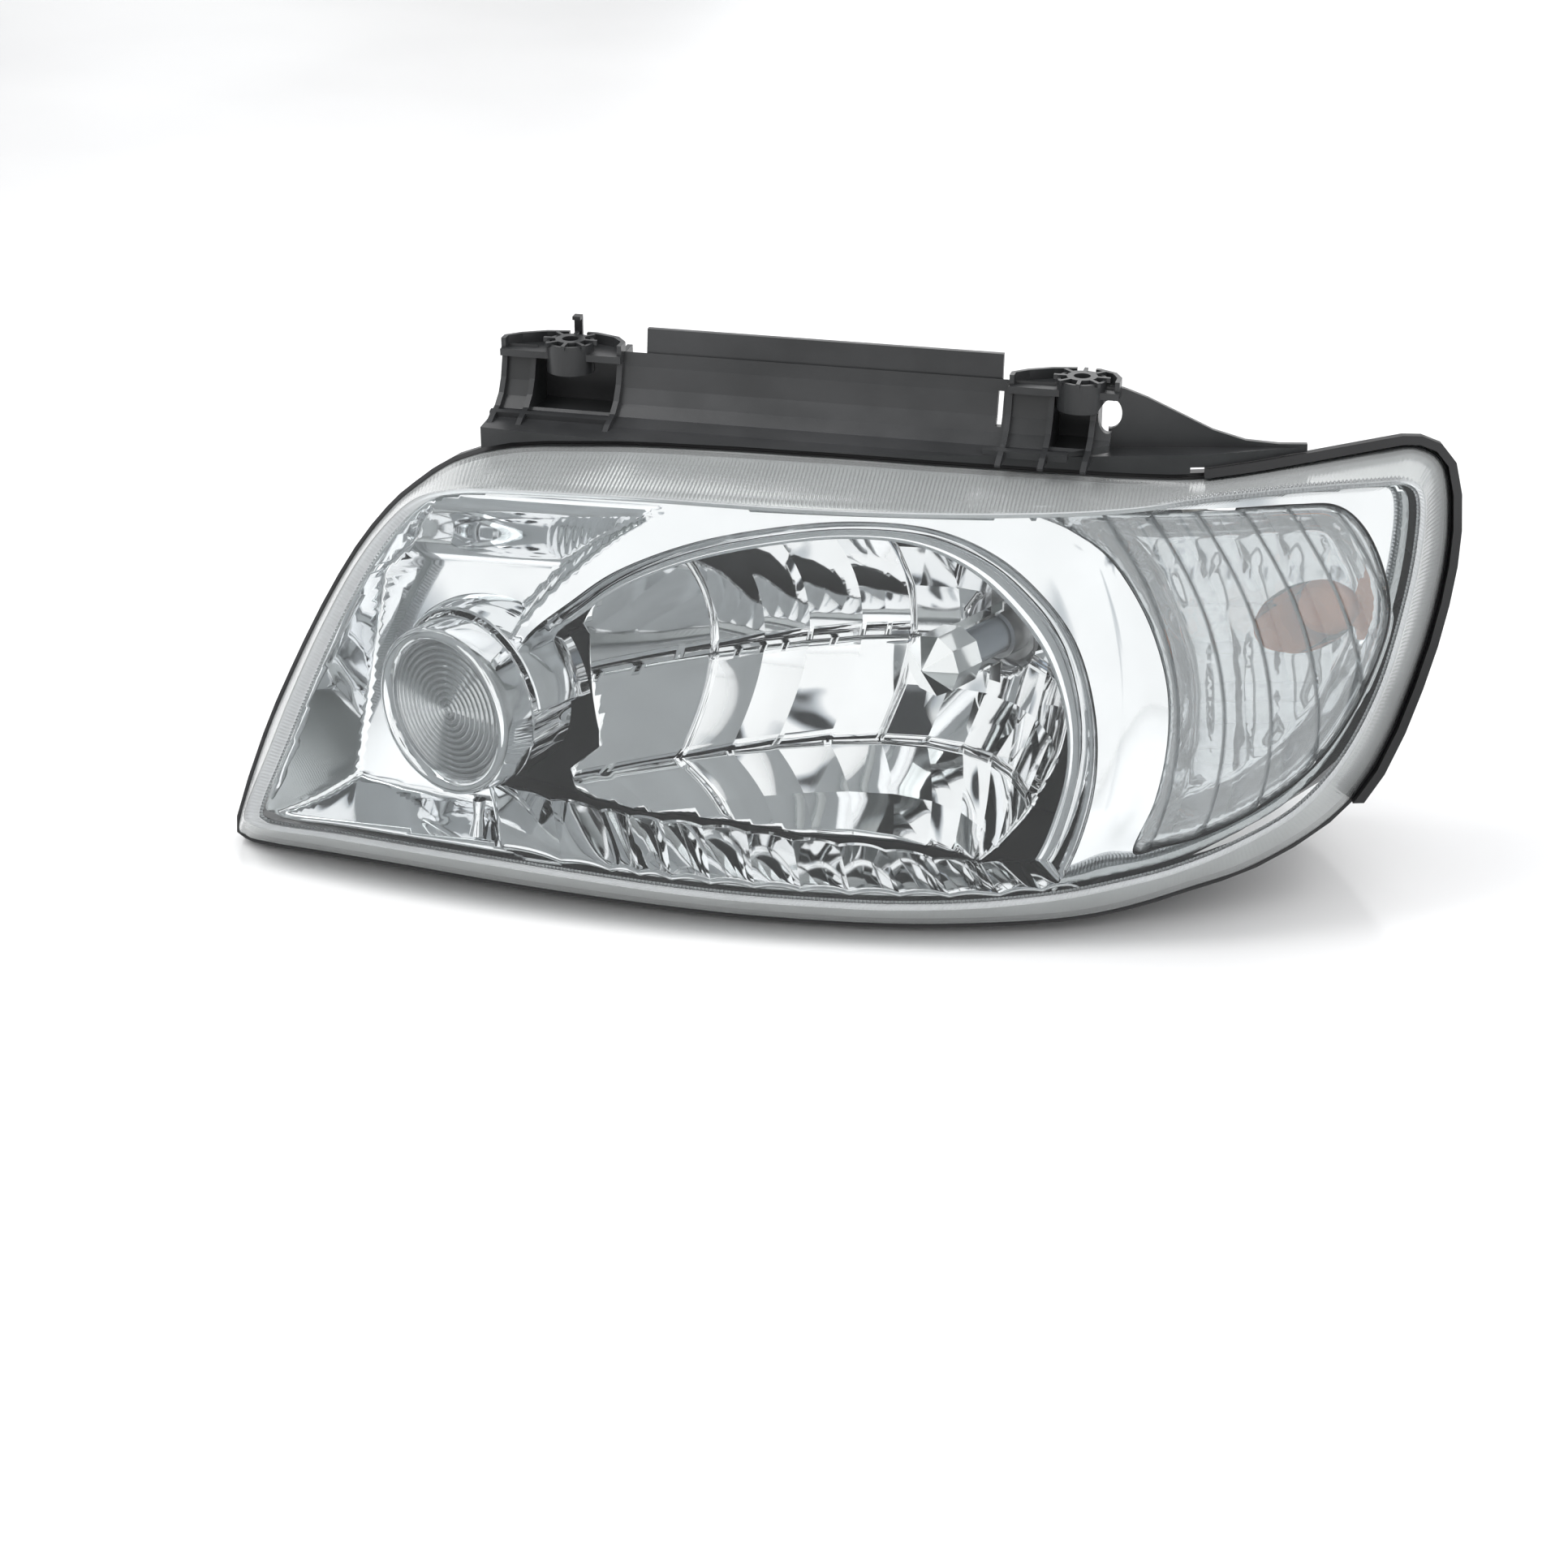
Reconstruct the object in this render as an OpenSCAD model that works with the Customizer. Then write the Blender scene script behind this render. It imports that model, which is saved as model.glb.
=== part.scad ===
// Left-hand car headlight: clear outer lens, housing, chrome bezel, faceted main
// reflector on a three-point aiming frame, position lamp and turn signal.
// +X is outboard, -Y is forward along the beam, +Z is up.

/* [Face] */
// Sweep of the lens face towards the fender
sweep = 33; // [30:1:36]
// Backward lean of the lens face
lean = 12; // [10:1:14]
// Radius of the spherical lens face
lens_r = 720; // [700:10:760]
// Thickness of the lens wall
lens_t = 3; // [2.5:0.1:3.2]
// Depth of the lens skirt at the middle of the face
skirt_depth = 30; // [28:1:32]
// Height of the middle of the face above the rest plane
face_h = 100; // [99:1:102]

/* [Housing] */
// Thickness of the housing walls
wall = 3; // [2.5:0.1:3.2]
// Rear wall behind the main reflector
main_rear = 150; // [149:1:151]
// Rear wall behind the turn signal
turn_rear = 234; // [232:1:236]
// Height of the flat top of the housing
can_top = 173; // [172:1:174]

/* [Main lamp] */
// Focal length of the main reflector
focal = 25; // [24.5:0.1:25.5]
// Outer radius of the bulb's fixing flange
bulb_flange_r = 21.5; // [21:0.1:21.5]
// Radius of the bulb's glass
bulb_r = 8.5; // [8:0.1:9]

/* [Aiming] */
// Radius of each ball joint's ball
ball_r = 5; // [4.5:0.1:5]
// Clearance round a ball in its socket
ball_gap = 0.35; // [0.3:0.05:0.5]

/* [Bracket] */
// Angle of the line through the two fixing bosses
boss_angle = 25.5; // [25:0.5:26]
// Distance between the two fixing bosses
boss_span = 224; // [222:1:226]
// Radius of each fixing hole
hole_r = 3.6; // [3.3:0.1:3.8]
// Outer radius of each boss
boss_r = 10.5; // [10:0.5:11]
// Radius of the lower locating peg
peg_r = 5; // [4:0.5:6]
// Length of the lower locating peg
peg_l = 16; // [12:1:20]

/* [Hidden] */
$fn = 64;
ball_facets = 300;

// Shift that puts the origin under the middle of the whole lamp.
origin = [54.1, -76.7, 3];

// ---- the lens face: a sphere, and the flange surface behind it ----
flange_tilt = 9;
flange_v = -lens_r * sin(flange_tilt);
flange_c = -skirt_depth - lens_r * cos(flange_tilt);

function lens_w(p, d) = sqrt(pow(lens_r - d, 2) - p.x * p.x - p.y * p.y) - lens_r;
function flange_w(p, d) =
    flange_c + sqrt(pow(lens_r - d, 2) - p.x * p.x - pow(p.y - flange_v, 2));

// Front edge of the lens, across and up the face, clockwise from the inboard tip.
edge_points = [
    [-256, -74], [-267, -72.5], [-268.5, -66], [-256, -37.5], [-243.5, -9],
    [-228, 23], [-212.5, 50], [-198, 68.5], [-185, 79], [-168, 83.5],
    [-147, 84.7], [-118, 85], [-84, 85], [-16, 83.5], [34, 83.5], [83, 85],
    [116, 87.6], [146, 92], [182, 96], [215, 98.5], [229, 98.5], [235, 91],
    [234.5, 69], [230, 42.5], [222, 12], [208.5, -17], [190.5, -39], [166, -54.5],
    [141, -65.5], [116, -72.7], [90, -78.5], [56, -83], [22, -85], [-12, -85],
    [-47, -84.3], [-82, -82.5], [-117, -80], [-154, -77.5], [-191, -75.5],
    [-229, -74]
];
// Rear edge of the lens skirt, matched point by point to the front edge.
flange_points = [
    [-262, -84.5], [-274, -83], [-277, -76], [-264, -37], [-252, -9],
    [-237, 22], [-222, 48], [-208, 66], [-196, 77], [-178, 89],
    [-152, 96.5], [-120, 99], [-84, 100], [-18, 99], [33, 97], [82, 95],
    [115, 93.5], [146, 94], [184, 100], [218, 106], [235, 107.5], [247, 99],
    [250, 73], [246, 43], [236.5, 9], [222, -26], [203, -48.5], [173, -67],
    [145, -77], [118, -85.5], [92, -90.5], [57, -93.5], [22, -95], [-12, -95],
    [-47, -94.3], [-83, -92.7], [-119, -90.8], [-156, -88.6], [-194, -86.3],
    [-232, -85]
];

function spline(a, b, c, d, t) =
    (2 * b + (c - a) * t + (2 * a - 5 * b + 4 * c - d) * t * t
        + (3 * b - a - 3 * c + d) * t * t * t) / 2;
function smooth_loop(p, n) = [
    for (i = [0:len(p) - 1])
        for (j = [0:n - 1])
            spline(p[(i + len(p) - 1) % len(p)], p[i], p[(i + 1) % len(p)],
                p[(i + 2) % len(p)], j / n)
];
// Moves each point of a clockwise loop inward by d.
function inset(p, d) = [
    for (i = [0:len(p) - 1])
        let (t = p[(i + 1) % len(p)] - p[(i + len(p) - 1) % len(p)])
            p[i] + d * [t.y, -t.x] / norm(t)
];
edge_loop = smooth_loop(edge_points, 2);
flange_loop = smooth_loop(flange_points, 2);

function on_lens(p, d) = [for (q = p) [q.x, q.y, lens_w(q, d)]];
function on_flange(p, d) = [for (q = p) [q.x, q.y, flange_w(q, d)]];
function flat_list(p) = [for (q = p) for (r = q) r];

// A closed skin through rings of equal length, closed to a point at each end.
module skin(first, rings, last) {
    n = len(rings[0]);
    m = len(rings);
    function at(k, i) = 1 + k * n + (i % n);
    end = 1 + m * n;
    polyhedron(
        concat([first], flat_list(rings), [last]),
        concat(
            [for (i = [0:n - 1]) [0, at(0, i), at(0, i + 1)]],
            [for (k = [0:m - 2]) for (i = [0:n - 1]) [at(k, i), at(k + 1, i), at(k, i + 1)]],
            [for (k = [0:m - 2]) for (i = [0:n - 1]) [at(k, i + 1), at(k + 1, i), at(k + 1, i + 1)]],
            [for (i = [0:n - 1]) [end, at(m - 1, i + 1), at(m - 1, i)]]
        )
    );
}

module place() translate(origin) children();
module face() place() translate([0, 0, face_h]) rotate([90 - lean, 0, sweep]) children();
module face_prism(p) translate([0, 0, -150]) linear_extrude(200) polygon(p);
module lens_ball(d) translate([0, 0, -lens_r]) sphere(r = lens_r - d, $fn = ball_facets);
module flange_ball(d) translate([0, flange_v, flange_c]) sphere(r = lens_r - d, $fn = ball_facets);
module lens_layer(d0, d1) {
    difference() {
        lens_ball(d0);
        lens_ball(d1);
    }
}
module flange_layer(d0, d1) {
    difference() {
        flange_ball(d0);
        flange_ball(d1);
    }
}
// A cylinder along Y at [x, z], from y0 back to y1.
module rod_y(p, r, y0, y1) {
    place() translate([p.x, y1, p.y]) rotate([90, 0, 0]) cylinder(h = y1 - y0, r = r);
}
// The child outline in X and Z, extruded from y0 back to y1.
module plate_y(y0, y1) {
    place() translate([0, y1, 0]) rotate([90, 0, 0]) linear_extrude(y1 - y0) children();
}
// A turned profile about an axis along Y at [x, z]: profile x is the radius,
// profile y runs backward along the axis.
module turned_y(p) {
    place() translate([p.x, 0, p.y]) rotate([-90, 0, 0]) rotate_extrude() children();
}
module box(a, b) place() translate(a) cube(b - a);

// ---- main places, in X and Z or X, Y and Z ----
lamp_axis = [-15, 91];
vertex_y = 135;
position_axis = [-169, 76];
turn_axis = [120, 122];
peg_axis = [118, 75];
ball_y = 120;
pivot = [-75, ball_y, 155];
level_ball = [-75, ball_y, 35];
aim_ball = [48, ball_y, 155];

// ---- housing ----
// Plan of the housing's can, in X and Y.
can_plan = [
    [-252, -130], [-250, -95], [-226, 0], [-218, 22], [-206, 28], [-152, 32],
    [-134, 40], [-122, 56], [-114, 138], [-110, 146], [-102, main_rear],
    [68, main_rear], [76, main_rear + 4], [80, main_rear + 12], [84, 222],
    [88, 230], [96, turn_rear], [132, turn_rear], [141, 229], [149, 214],
    [160, 160], [160, -130]
];
// Front view of the housing's can, in X and Z.
can_front = [
    [-250, -0.5], [-252, 14], [-246, 50], [-240, 75], [-232, 103], [-220, 128],
    [-203, 151], [-186, 166], [-170, can_top], [132, can_top], [142, 168],
    [147, 155], [148, 103], [146, 81], [140, 63], [131, 49], [115, 33],
    [95, 19], [75, 9], [60, -0.5]
];
module can(plan, front, d) {
    intersection() {
        place() translate([0, 0, -20]) linear_extrude(240) polygon(plan);
        plate_y(-140, 260) polygon(front);
        face() flange_ball(d);
    }
}
module housing_shell() {
    difference() {
        union() {
            can(can_plan, can_front, 10);
            face() intersection() {
                flange_layer(2, 14);
                face_prism(inset(flange_loop, -2));
            }
        }
        can(inset(can_plan, wall), inset(can_front, wall), 8);
        face() intersection() {
            flange_layer(-5, 15);
            face_prism([for (q = flange_loop) [q.x * 0.962, q.y * 0.9 + 1]]);
        }
    }
}
module rear_rib_set() {
    for (x = [-95, -60, 20, 55])
        box([x - 1, main_rear - 1, 20], [x + 1, main_rear + 4, 168]);
    for (z = [14, 168])
        box([-96, main_rear - 1, z - 1], [56, main_rear + 4, z + 1]);
}
rest_z = -3;
module housing() color("dimgray") {
    difference() {
        union() {
            housing_shell();
            rear_rib_set();
            rod_y(lamp_axis, 49, main_rear - 1, main_rear + 13);
            rod_y(turn_axis, 20, turn_rear - 1, turn_rear + 8);
            rod_y(position_axis, 15.5, 24, 38);
            rod_y([level_ball.x, level_ball.z], 17, main_rear - 1, main_rear + 5);
            rod_y([aim_ball.x, aim_ball.z], 13, main_rear - 1, main_rear + 5);
            rod_y([pivot.x, pivot.z], 8, main_rear - 8, main_rear + 3);
            rod_y(peg_axis, peg_r, turn_rear - 1, turn_rear + peg_l);
            box([-90, 118, rest_z], [-80, 146, 6]);
            box([40, 118, rest_z], [50, 146, 6]);
        }
        rod_y(lamp_axis, 45.5, main_rear - 6, main_rear + 20);
        rod_y(turn_axis, 16, turn_rear - 20, turn_rear + 20);
        rod_y(position_axis, 11.5, 10, 50);
        rod_y([level_ball.x, level_ball.z], 13.3, main_rear - 6, main_rear + 20);
        rod_y([aim_ball.x, aim_ball.z], 8, main_rear - 6, main_rear + 20);
    }
}

// ---- lens and its seals ----
front_steps = [0.25, 0.5, 0.72, 0.88, 0.97];
module outer_lens() color("aliceblue", 0.4) face() {
    inner_edge = inset(edge_loop, lens_t);
    inner_flange = inset(flange_loop, lens_t);
    skin(
        [0, 0, lens_w([0, 0], 0)],
        concat(
            [for (k = front_steps) on_lens(edge_loop * k, 0)],
            [on_lens(edge_loop, 0.5), on_flange(flange_loop, 0),
                on_flange(inner_flange, 0), on_lens(inner_edge, lens_t)],
            [for (i = [4:-1:0]) on_lens(inner_edge * front_steps[i], lens_t)]
        ),
        [0, 0, lens_w([0, 0], lens_t)]
    );
}
module lens_sealant() color("black") face() intersection() {
    flange_layer(0.3, 2);
    difference() {
        face_prism(inset(flange_loop, -0.5));
        face_prism([for (q = flange_loop) [q.x * 0.975, q.y * 0.93 + 1]]);
    }
}
module edge_seal() color("black") face() intersection() {
    flange_layer(-7, 1.8);
    difference() {
        face_prism(inset(flange_loop, -4.5));
        face_prism(inset(flange_loop, -0.8));
    }
    translate([144, -40, -150]) cube([120, 170, 200]);
}

// ---- top bracket ----
boss_left = [-174, 27.5];
boss_z = 220;
module bracket_frame() {
    place() translate([boss_left.x, boss_left.y, 0]) rotate([0, 0, boss_angle]) children();
}
// Section of the panel: back in the first value, height in the second.
cove = [
    [-42, 188], [-22, 189], [-14, 191], [-8, 195], [-4, 201], [-1, 210], [0, 216]
];
panel_t = 2.5;
function cove_band(a, b) = concat(cove + [for (q = cove) a], [
    for (i = [len(cove) - 1:-1:0]) cove[i] + b
]);
// Extrudes an outline of depth and height along the bracket from s0 to s1.
module along_bracket(s0, s1) {
    bracket_frame() translate([s0, 0, 0]) rotate([90, 0, 90]) linear_extrude(s1 - s0) children();
}
// Plan of the panel: its front edge follows the lens skirt.
panel_plan = [
    [-31, -34], [-14, -35], [10, -36], [62, -35], [115, -32], [166, -26],
    [216, -16], [250, -6.5], [280, 1.5], [318, 20], [316, 24], [282, 12],
    [262, 7], [240, 4], [236, 18], [-31, 18]
];
// Stretches of the bracket that are set back under the two bosses.
recess_runs = [[-14.8, 21.8], [213.2, 228.8]];
module bracket_panel() {
    intersection() {
        union() {
            difference() {
                along_bracket(-31, 238) polygon(cove_band([0, 0], [panel_t, -panel_t * 0.6]));
                for (r = recess_runs)
                    along_bracket(r[0], r[1]) polygon([[-12.5, 190.5], [11, 190.5], [11, 217], [-12.5, 217]]);
            }
            for (r = recess_runs)
                along_bracket(r[0] - 1.5, r[1] + 1.5)
                    polygon([[11, 188], [13.5, 188], [13.5, 214], [11, 214]]);
            along_bracket(-31, 319) polygon([[-42, 188], [30, 190], [30, 187.5], [-42, 185.5]]);
        }
        bracket_frame() translate([0, 0, 150]) linear_extrude(90) polygon(panel_plan);
    }
}
module bracket_tail() {
    bracket_frame() translate([236, 1, 0]) rotate([0, 0, 12.5])
        rotate([90, 0, 0]) translate([0, 0, -panel_t]) linear_extrude(panel_t)
            polygon([[0, 186], [0, 216], [6, 215], [16, 211], [30, 204], [44, 197],
                [58, 192.5], [72, 191], [84, 191], [84, 186]]);
}
module bracket_front_skirt() {
    bracket_frame() translate([0, 0, 174]) linear_extrude(13)
        polygon([[-31, -34], [-14, -35], [10, -36], [62, -35], [115, -32], [166, -26],
            [216, -16], [250, -6.5], [280, 1.5], [310, 16], [309, 19], [279, 4], [249, -4],
            [215, -13.5], [165, -23.5], [114, -29.5], [62, -32.5], [10, -33.5], [-14, -32.5],
            [-31, -31.5]]);
}
module bracket_gusset(s) {
    along_bracket(s - 1.2, s + 1.2)
        polygon(concat([[-30, 188]], [for (q = cove) if (q.x > -30 && q.y < 215) q + [-2, 1.6]],
            [[-1.8, 215], [13.5, 215], [13.5, 188], [-30, 187]]));
}
// Low ledge that closes the foot of the ribs.
module bracket_ledge(s0, s1) {
    along_bracket(s0, s1) polygon([[-21, 188.4], [-21, 191.4], [-18.6, 192], [-18.6, 188.4]]);
}
// Pad round a boss, with a low wall along its back edge; it reaches out to right.
module boss_pad(s, right) {
    bracket_frame() translate([s, 0, boss_z - 8]) {
        linear_extrude(3)
            polygon([[-30.2, -6], [-30.2, 1], [-24, 6.5], [-14, 11.5], [-4, 13.5],
                [right * 0.35, 13.5], [right * 0.8, 9.5], [right, 3], [right, -6]]);
        linear_extrude(7.4)
            polygon([[-30.2, -4], [-30.2, 1], [-24, 6.5], [-14, 11.5], [-4, 13.5], [-4, 11.5],
                [-13.3, 9.6], [-23, 4.8], [-28.2, 0.2], [-28.2, -4]]);
        linear_extrude(7.4)
            polygon([[4, 13.5], [right * 0.35, 13.5], [right * 0.8, 9.5], [right, 3],
                [right, -4], [right - 2, -4], [right - 2, 2.4], [right * 0.72, 8],
                [right * 0.3, 11.5], [4, 11.5]]);
    }
}
module boss_solid(s) {
    bracket_frame() translate([s, 0, boss_z - 14]) cylinder(h = 13, r = boss_r);
    bracket_frame() translate([s, 0, boss_z - 14]) cylinder(h = 14, r = 6.5);
    for (a = [0:45:315])
        bracket_frame() translate([s, 0, boss_z - 2]) rotate([0, 0, a])
            translate([3, -0.8, 0]) cube([boss_r - 1.5, 1.6, 2]);
}
module boss_cuts(s) {
    bracket_frame() translate([s, 0, boss_z - 15]) cylinder(h = 25, r = hole_r);
    difference() {
        bracket_frame() translate([s, 0, boss_z - 3]) cylinder(h = 2.2, r = 9);
        bracket_frame() translate([s, 0, boss_z - 4]) cylinder(h = 5, r = 6.5);
        for (a = [0:45:315])
            bracket_frame() translate([s, 0, boss_z - 4]) rotate([0, 0, a])
                translate([3, -0.8, 0]) cube([boss_r, 1.6, 5]);
    }
}
foot_places = [[70, -10], [130, -6], [190, 2]];
module bracket_feet() {
    for (p = foot_places) {
        bracket_frame() translate([p.x - 14, p.y, can_top]) cube([28, 18, 3]);
        bracket_frame() translate([p.x - 14, p.y, can_top]) cube([2.5, 12, 16]);
        bracket_frame() translate([p.x + 11.5, p.y, can_top]) cube([2.5, 12, 16]);
    }
}
module bracket_left_leg() {
    for (s = [-8, 14])
        along_bracket(s, s + 3) polygon([[-20, can_top], [-4, can_top], [2, 188.5], [-20, 187]]);
}
module top_bracket() color("#2b2d2f") {
    difference() {
        union() {
            bracket_panel();
            bracket_tail();
            bracket_front_skirt();
            bracket_feet();
            bracket_left_leg();
            along_bracket(34, 190) polygon([[1, 212], [3.5, 212], [5.5, 226], [3, 226]]);
            for (s = [-29, -16, 23, 194, 212, 230]) bracket_gusset(s);
            bracket_ledge(-31, 23);
            bracket_ledge(186, 222);
            boss_pad(0, 24);
            boss_pad(boss_span, 16.5);
            for (s = [0, boss_span]) boss_solid(s);
        }
        for (s = [0, boss_span]) boss_cuts(s);
        face() face_prism(inset(flange_loop, -2.2));
        face() intersection() {
            face_prism(inset(flange_loop, -5));
            translate([138, 0, -150]) cube([200, 200, 200]);
        }
        for (s = [19, 190])
            along_bracket(s - 1.2, s + 1.2) polygon([[-16, 197], [16, 197], [16, 211], [-16, 211]]);
        bracket_frame() translate([236.5, 20, 204]) rotate([90, 0, 0]) scale([0.72, 1, 1])
            cylinder(h = 40, r = 6.5);
        for (p = foot_places)
            bracket_frame() translate([p.x, p.y + 11, can_top - 1]) cylinder(h = 6, r = 2.2);
    }
}
module bracket_screws() color("silver") {
    for (p = foot_places)
        bracket_frame() translate([p.x, p.y + 11, can_top + 3.1]) {
            difference() {
                cylinder(h = 3, r = 4.5);
                translate([0, 0, 1.4]) cylinder(h = 2, r = 2.4, $fn = 6);
            }
        }
}
module locating_clip() color("black") {
    bracket_frame() translate([-1.8, 12.2, boss_z - 5]) cube([3.6, 1.6, 12]);
    bracket_frame() translate([-1.8, 9.4, boss_z + 5.4]) cube([3.6, 3, 1.6]);
}

// ---- bezel ----
arch_points = [
    [-146, 12], [-136, 30], [-120, 47], [-103, 60], [-72, 68], [-37, 72], [-2, 72],
    [26, 66], [56, 52], [78, 31], [92, 3], [98, -22], [96, -45], [89, -64],
    [80, -74], [50, -74], [-20, -74], [-70, -71], [-100, -63], [-118, -50],
    [-128, -30], [-140, -8]
];
arch_loop = smooth_loop(arch_points, 2);
turn_points = [
    [72, 83.5], [98, 84], [149, 85.5], [182, 87.5], [199, 87], [211, 78], [220, 61],
    [224, 42], [220, 22], [210, -2], [195, -24], [174, -41], [152, -52.5], [134, -58],
    [121, -60], [129, -38], [133, -15], [132.5, 8], [127, 29], [118, 48], [105, 65.5],
    [89, 76]
];
turn_loop = smooth_loop(turn_points, 2);
module bezel() color("gainsboro") difference() {
    face() intersection() {
        difference() {
            union() {
                lens_layer(12, 14.5);
                intersection() {
                    lens_layer(12, 34);
                    difference() {
                        face_prism(inset(arch_loop, -2));
                        face_prism(arch_loop);
                    }
                }
            }
            face_prism(arch_loop);
            face_prism(inset(turn_loop, -1));
            translate([140, -150, -150]) cube([150, 300, 200]);
            translate([84, 60, -150]) cube([60, 90, 200]);
        }
        face_prism([for (q = edge_loop) [q.x * 0.972, q.y * 0.955]]);
    }
    rod_y(position_axis, 38.5, -140, 60);
}

// ---- position lamp ----
position_y = -66;
module position_trim_ring() color("gainsboro") turned_y(position_axis)
    polygon([[32.5, position_y + 1], [34, position_y], [36.5, position_y], [37, position_y + 2],
        [37, position_y + 16], [34.5, position_y + 16], [34.5, position_y + 4], [32.5, position_y + 3]]);
module position_barrel() color("gainsboro") turned_y(position_axis)
    polygon([[34, position_y + 16.3], [38, position_y + 16.3], [36, position_y + 42], [33.8, position_y + 42]]);
module position_reflector() color("lightgray") turned_y(position_axis)
    polygon([[33, position_y + 16.3], [29, position_y + 30], [21, position_y + 43],
        [12, position_y + 50], [12, position_y + 52], [22, position_y + 45],
        [30.5, position_y + 32], [33.6, position_y + 20]]);
module position_lens() color("aliceblue", 0.5) turned_y(position_axis)
    polygon(concat([[0, position_y + 3.4], [0, position_y + 5.6], [34.3, position_y + 5.6],
        [34.3, position_y + 4.2], [32.2, position_y + 3.4]],
        [for (r = [31:-2:3]) each [[r, position_y + 2.6], [r - 1, position_y + 3.4]]]));

// ---- turn signal ----
module turn_lens() color("white", 0.5) face() intersection() {
    lens_layer(12, 15);
    face_prism(turn_loop);
}
turn_cup_r = 26;
turn_mid = [160, 15];
// The turn signal's outline, shrunk about its middle.
function turn_inner(k) = [for (q = turn_loop) turn_mid + k * (q - turn_mid)];
module turn_reflector() color("gainsboro") {
    difference() {
        face() intersection() {
            lens_layer(16, 40);
            face_prism(turn_inner(0.94));
        }
        face() intersection() {
            lens_layer(10, 38);
            face_prism(turn_inner(0.9));
        }
        rod_y(turn_axis, turn_cup_r - 1, 100, 260);
        box([20, 60, 100], [62, 180, 200]);
    }
    // The cup starts on a flat that leans with the shell's back.
    intersection() {
        turned_y(turn_axis) polygon([[turn_cup_r - 2, 150], [turn_cup_r, 150], [turn_cup_r, 186],
            [16.4, 203], [14.2, 203], [turn_cup_r - 2, 185]]);
        face() translate([0, 0, -lens_r]) rotate([0, 15.6, 0]) translate([-200, -200, 300])
            cube([400, 400, lens_r - 338.5]);
    }
}

// ---- aiming frame ----
module ball_and_rod(b, y1, r) {
    place() translate(b) sphere(r = ball_r);
    rod_y([b.x, b.z], r, b.y, y1);
}
function arc_points(r, a0, a1, n) = [
    for (i = [0:n]) let (a = a0 + (a1 - a0) * i / n) [r * sin(a), -r * cos(a)]
];
// A cup that holds a ball and opens to the rear.
module socket_cup(b) {
    place() translate(b) rotate([-90, 0, 0]) rotate_extrude()
        polygon(concat(arc_points(ball_r + ball_gap, 0, 118, 12), arc_points(8, 118, 0, 12)));
}
module pivot_stud() color("silver") ball_and_rod(pivot, main_rear - 8, 3);
module pivot_socket() color("white") {
    socket_cup(pivot);
    difference() {
        place() translate([pivot.x - 13, pivot.y, pivot.z]) rotate([0, 90, 0])
            cylinder(h = 26, r = 2.5);
        place() translate(pivot) rotate([-90, 0, 0]) translate([0, 0, -7]) cylinder(h = 14, r = 7);
    }
}
module level_socket() color("white") socket_cup(level_ball);
module aim_socket() color("white") socket_cup(aim_ball);
module level_rod() color("silver") ball_and_rod(level_ball, main_rear + 24, 3.5);
module aim_rod() color("silver") ball_and_rod(aim_ball, main_rear + 24, 3.5);

function dish_y(r) = vertex_y - r * r / (4 * focal);
dish_steps = [19, 26, 34, 43, 53, 64, 76, 89, 103, 118, 134, 152];
reflector_points = [
    [-140, 20], [-128, 42], [-105, 60], [-72, 70], [-37, 74], [-2, 74], [28, 68], [58, 54],
    [80, 32], [94, 3], [99, -22], [98, -45], [92, -62], [80, -71], [-70, -70],
    [-100, -64], [-116, -50], [-122, -20], [-128, 0]
];
// Everything in front of the reflector's back, as a solid.
module dish_back() {
    turned_y(lamp_axis) polygon(concat([[0, -90], [0, vertex_y + 3.2]],
        [for (r = dish_steps) [r, dish_y(r) + 3.2]], [[152, -90]]));
}
// The reflector's shell, before it is trimmed to the opening.
module dish() {
    last = len(dish_steps) - 1;
    turned_y(lamp_axis) polygon(concat(
        [for (r = dish_steps) [r, dish_y(r)]],
        [for (i = [last:-1:0]) [dish_steps[i], dish_y(dish_steps[i]) + 3]]
    ));
}
module main_reflector() color("gainsboro") difference() {
    intersection() {
        face() translate([0, 0, -50]) rotate([0, -2, 0]) translate([0, 0, -130])
            linear_extrude(130) polygon(reflector_points);
        dish();
    }
    rod_y(position_axis, 42, -140, 0);
}
module aim_frame() color("#2b2d2f") difference() {
    union() {
        difference() {
            rod_y(lamp_axis, 26, 122, 138);
            dish_back();
        }
        for (z = [155, 35])
            difference() {
                box([-89, 98, z - 6], [z > 100 ? 54 : 0, 110, z + 6]);
                dish_back();
            }
        for (x = [lamp_axis.x - 22, lamp_axis.x + 19])
            difference() {
                box([x, 99, 32], [x + 3, 137, 158]);
                dish_back();
            }
        box([-24, 133.5, 57], [-6, 138, 68]);
        for (x = [pivot.x - 13, pivot.x + 9.5])
            box([x, 105, 150], [x + 3.5, 126, 160]);
        for (b = [level_ball, aim_ball])
            rod_y([b.x, b.z], 7, 106, 117);
    }
    rod_y(lamp_axis, 19, 100, 140);
    for (b = [level_ball, aim_ball])
        place() translate(b) sphere(r = 8.1);
    place() translate([pivot.x - 20, pivot.y, pivot.z]) rotate([0, 90, 0]) cylinder(h = 40, r = 2.85);
}
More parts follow.
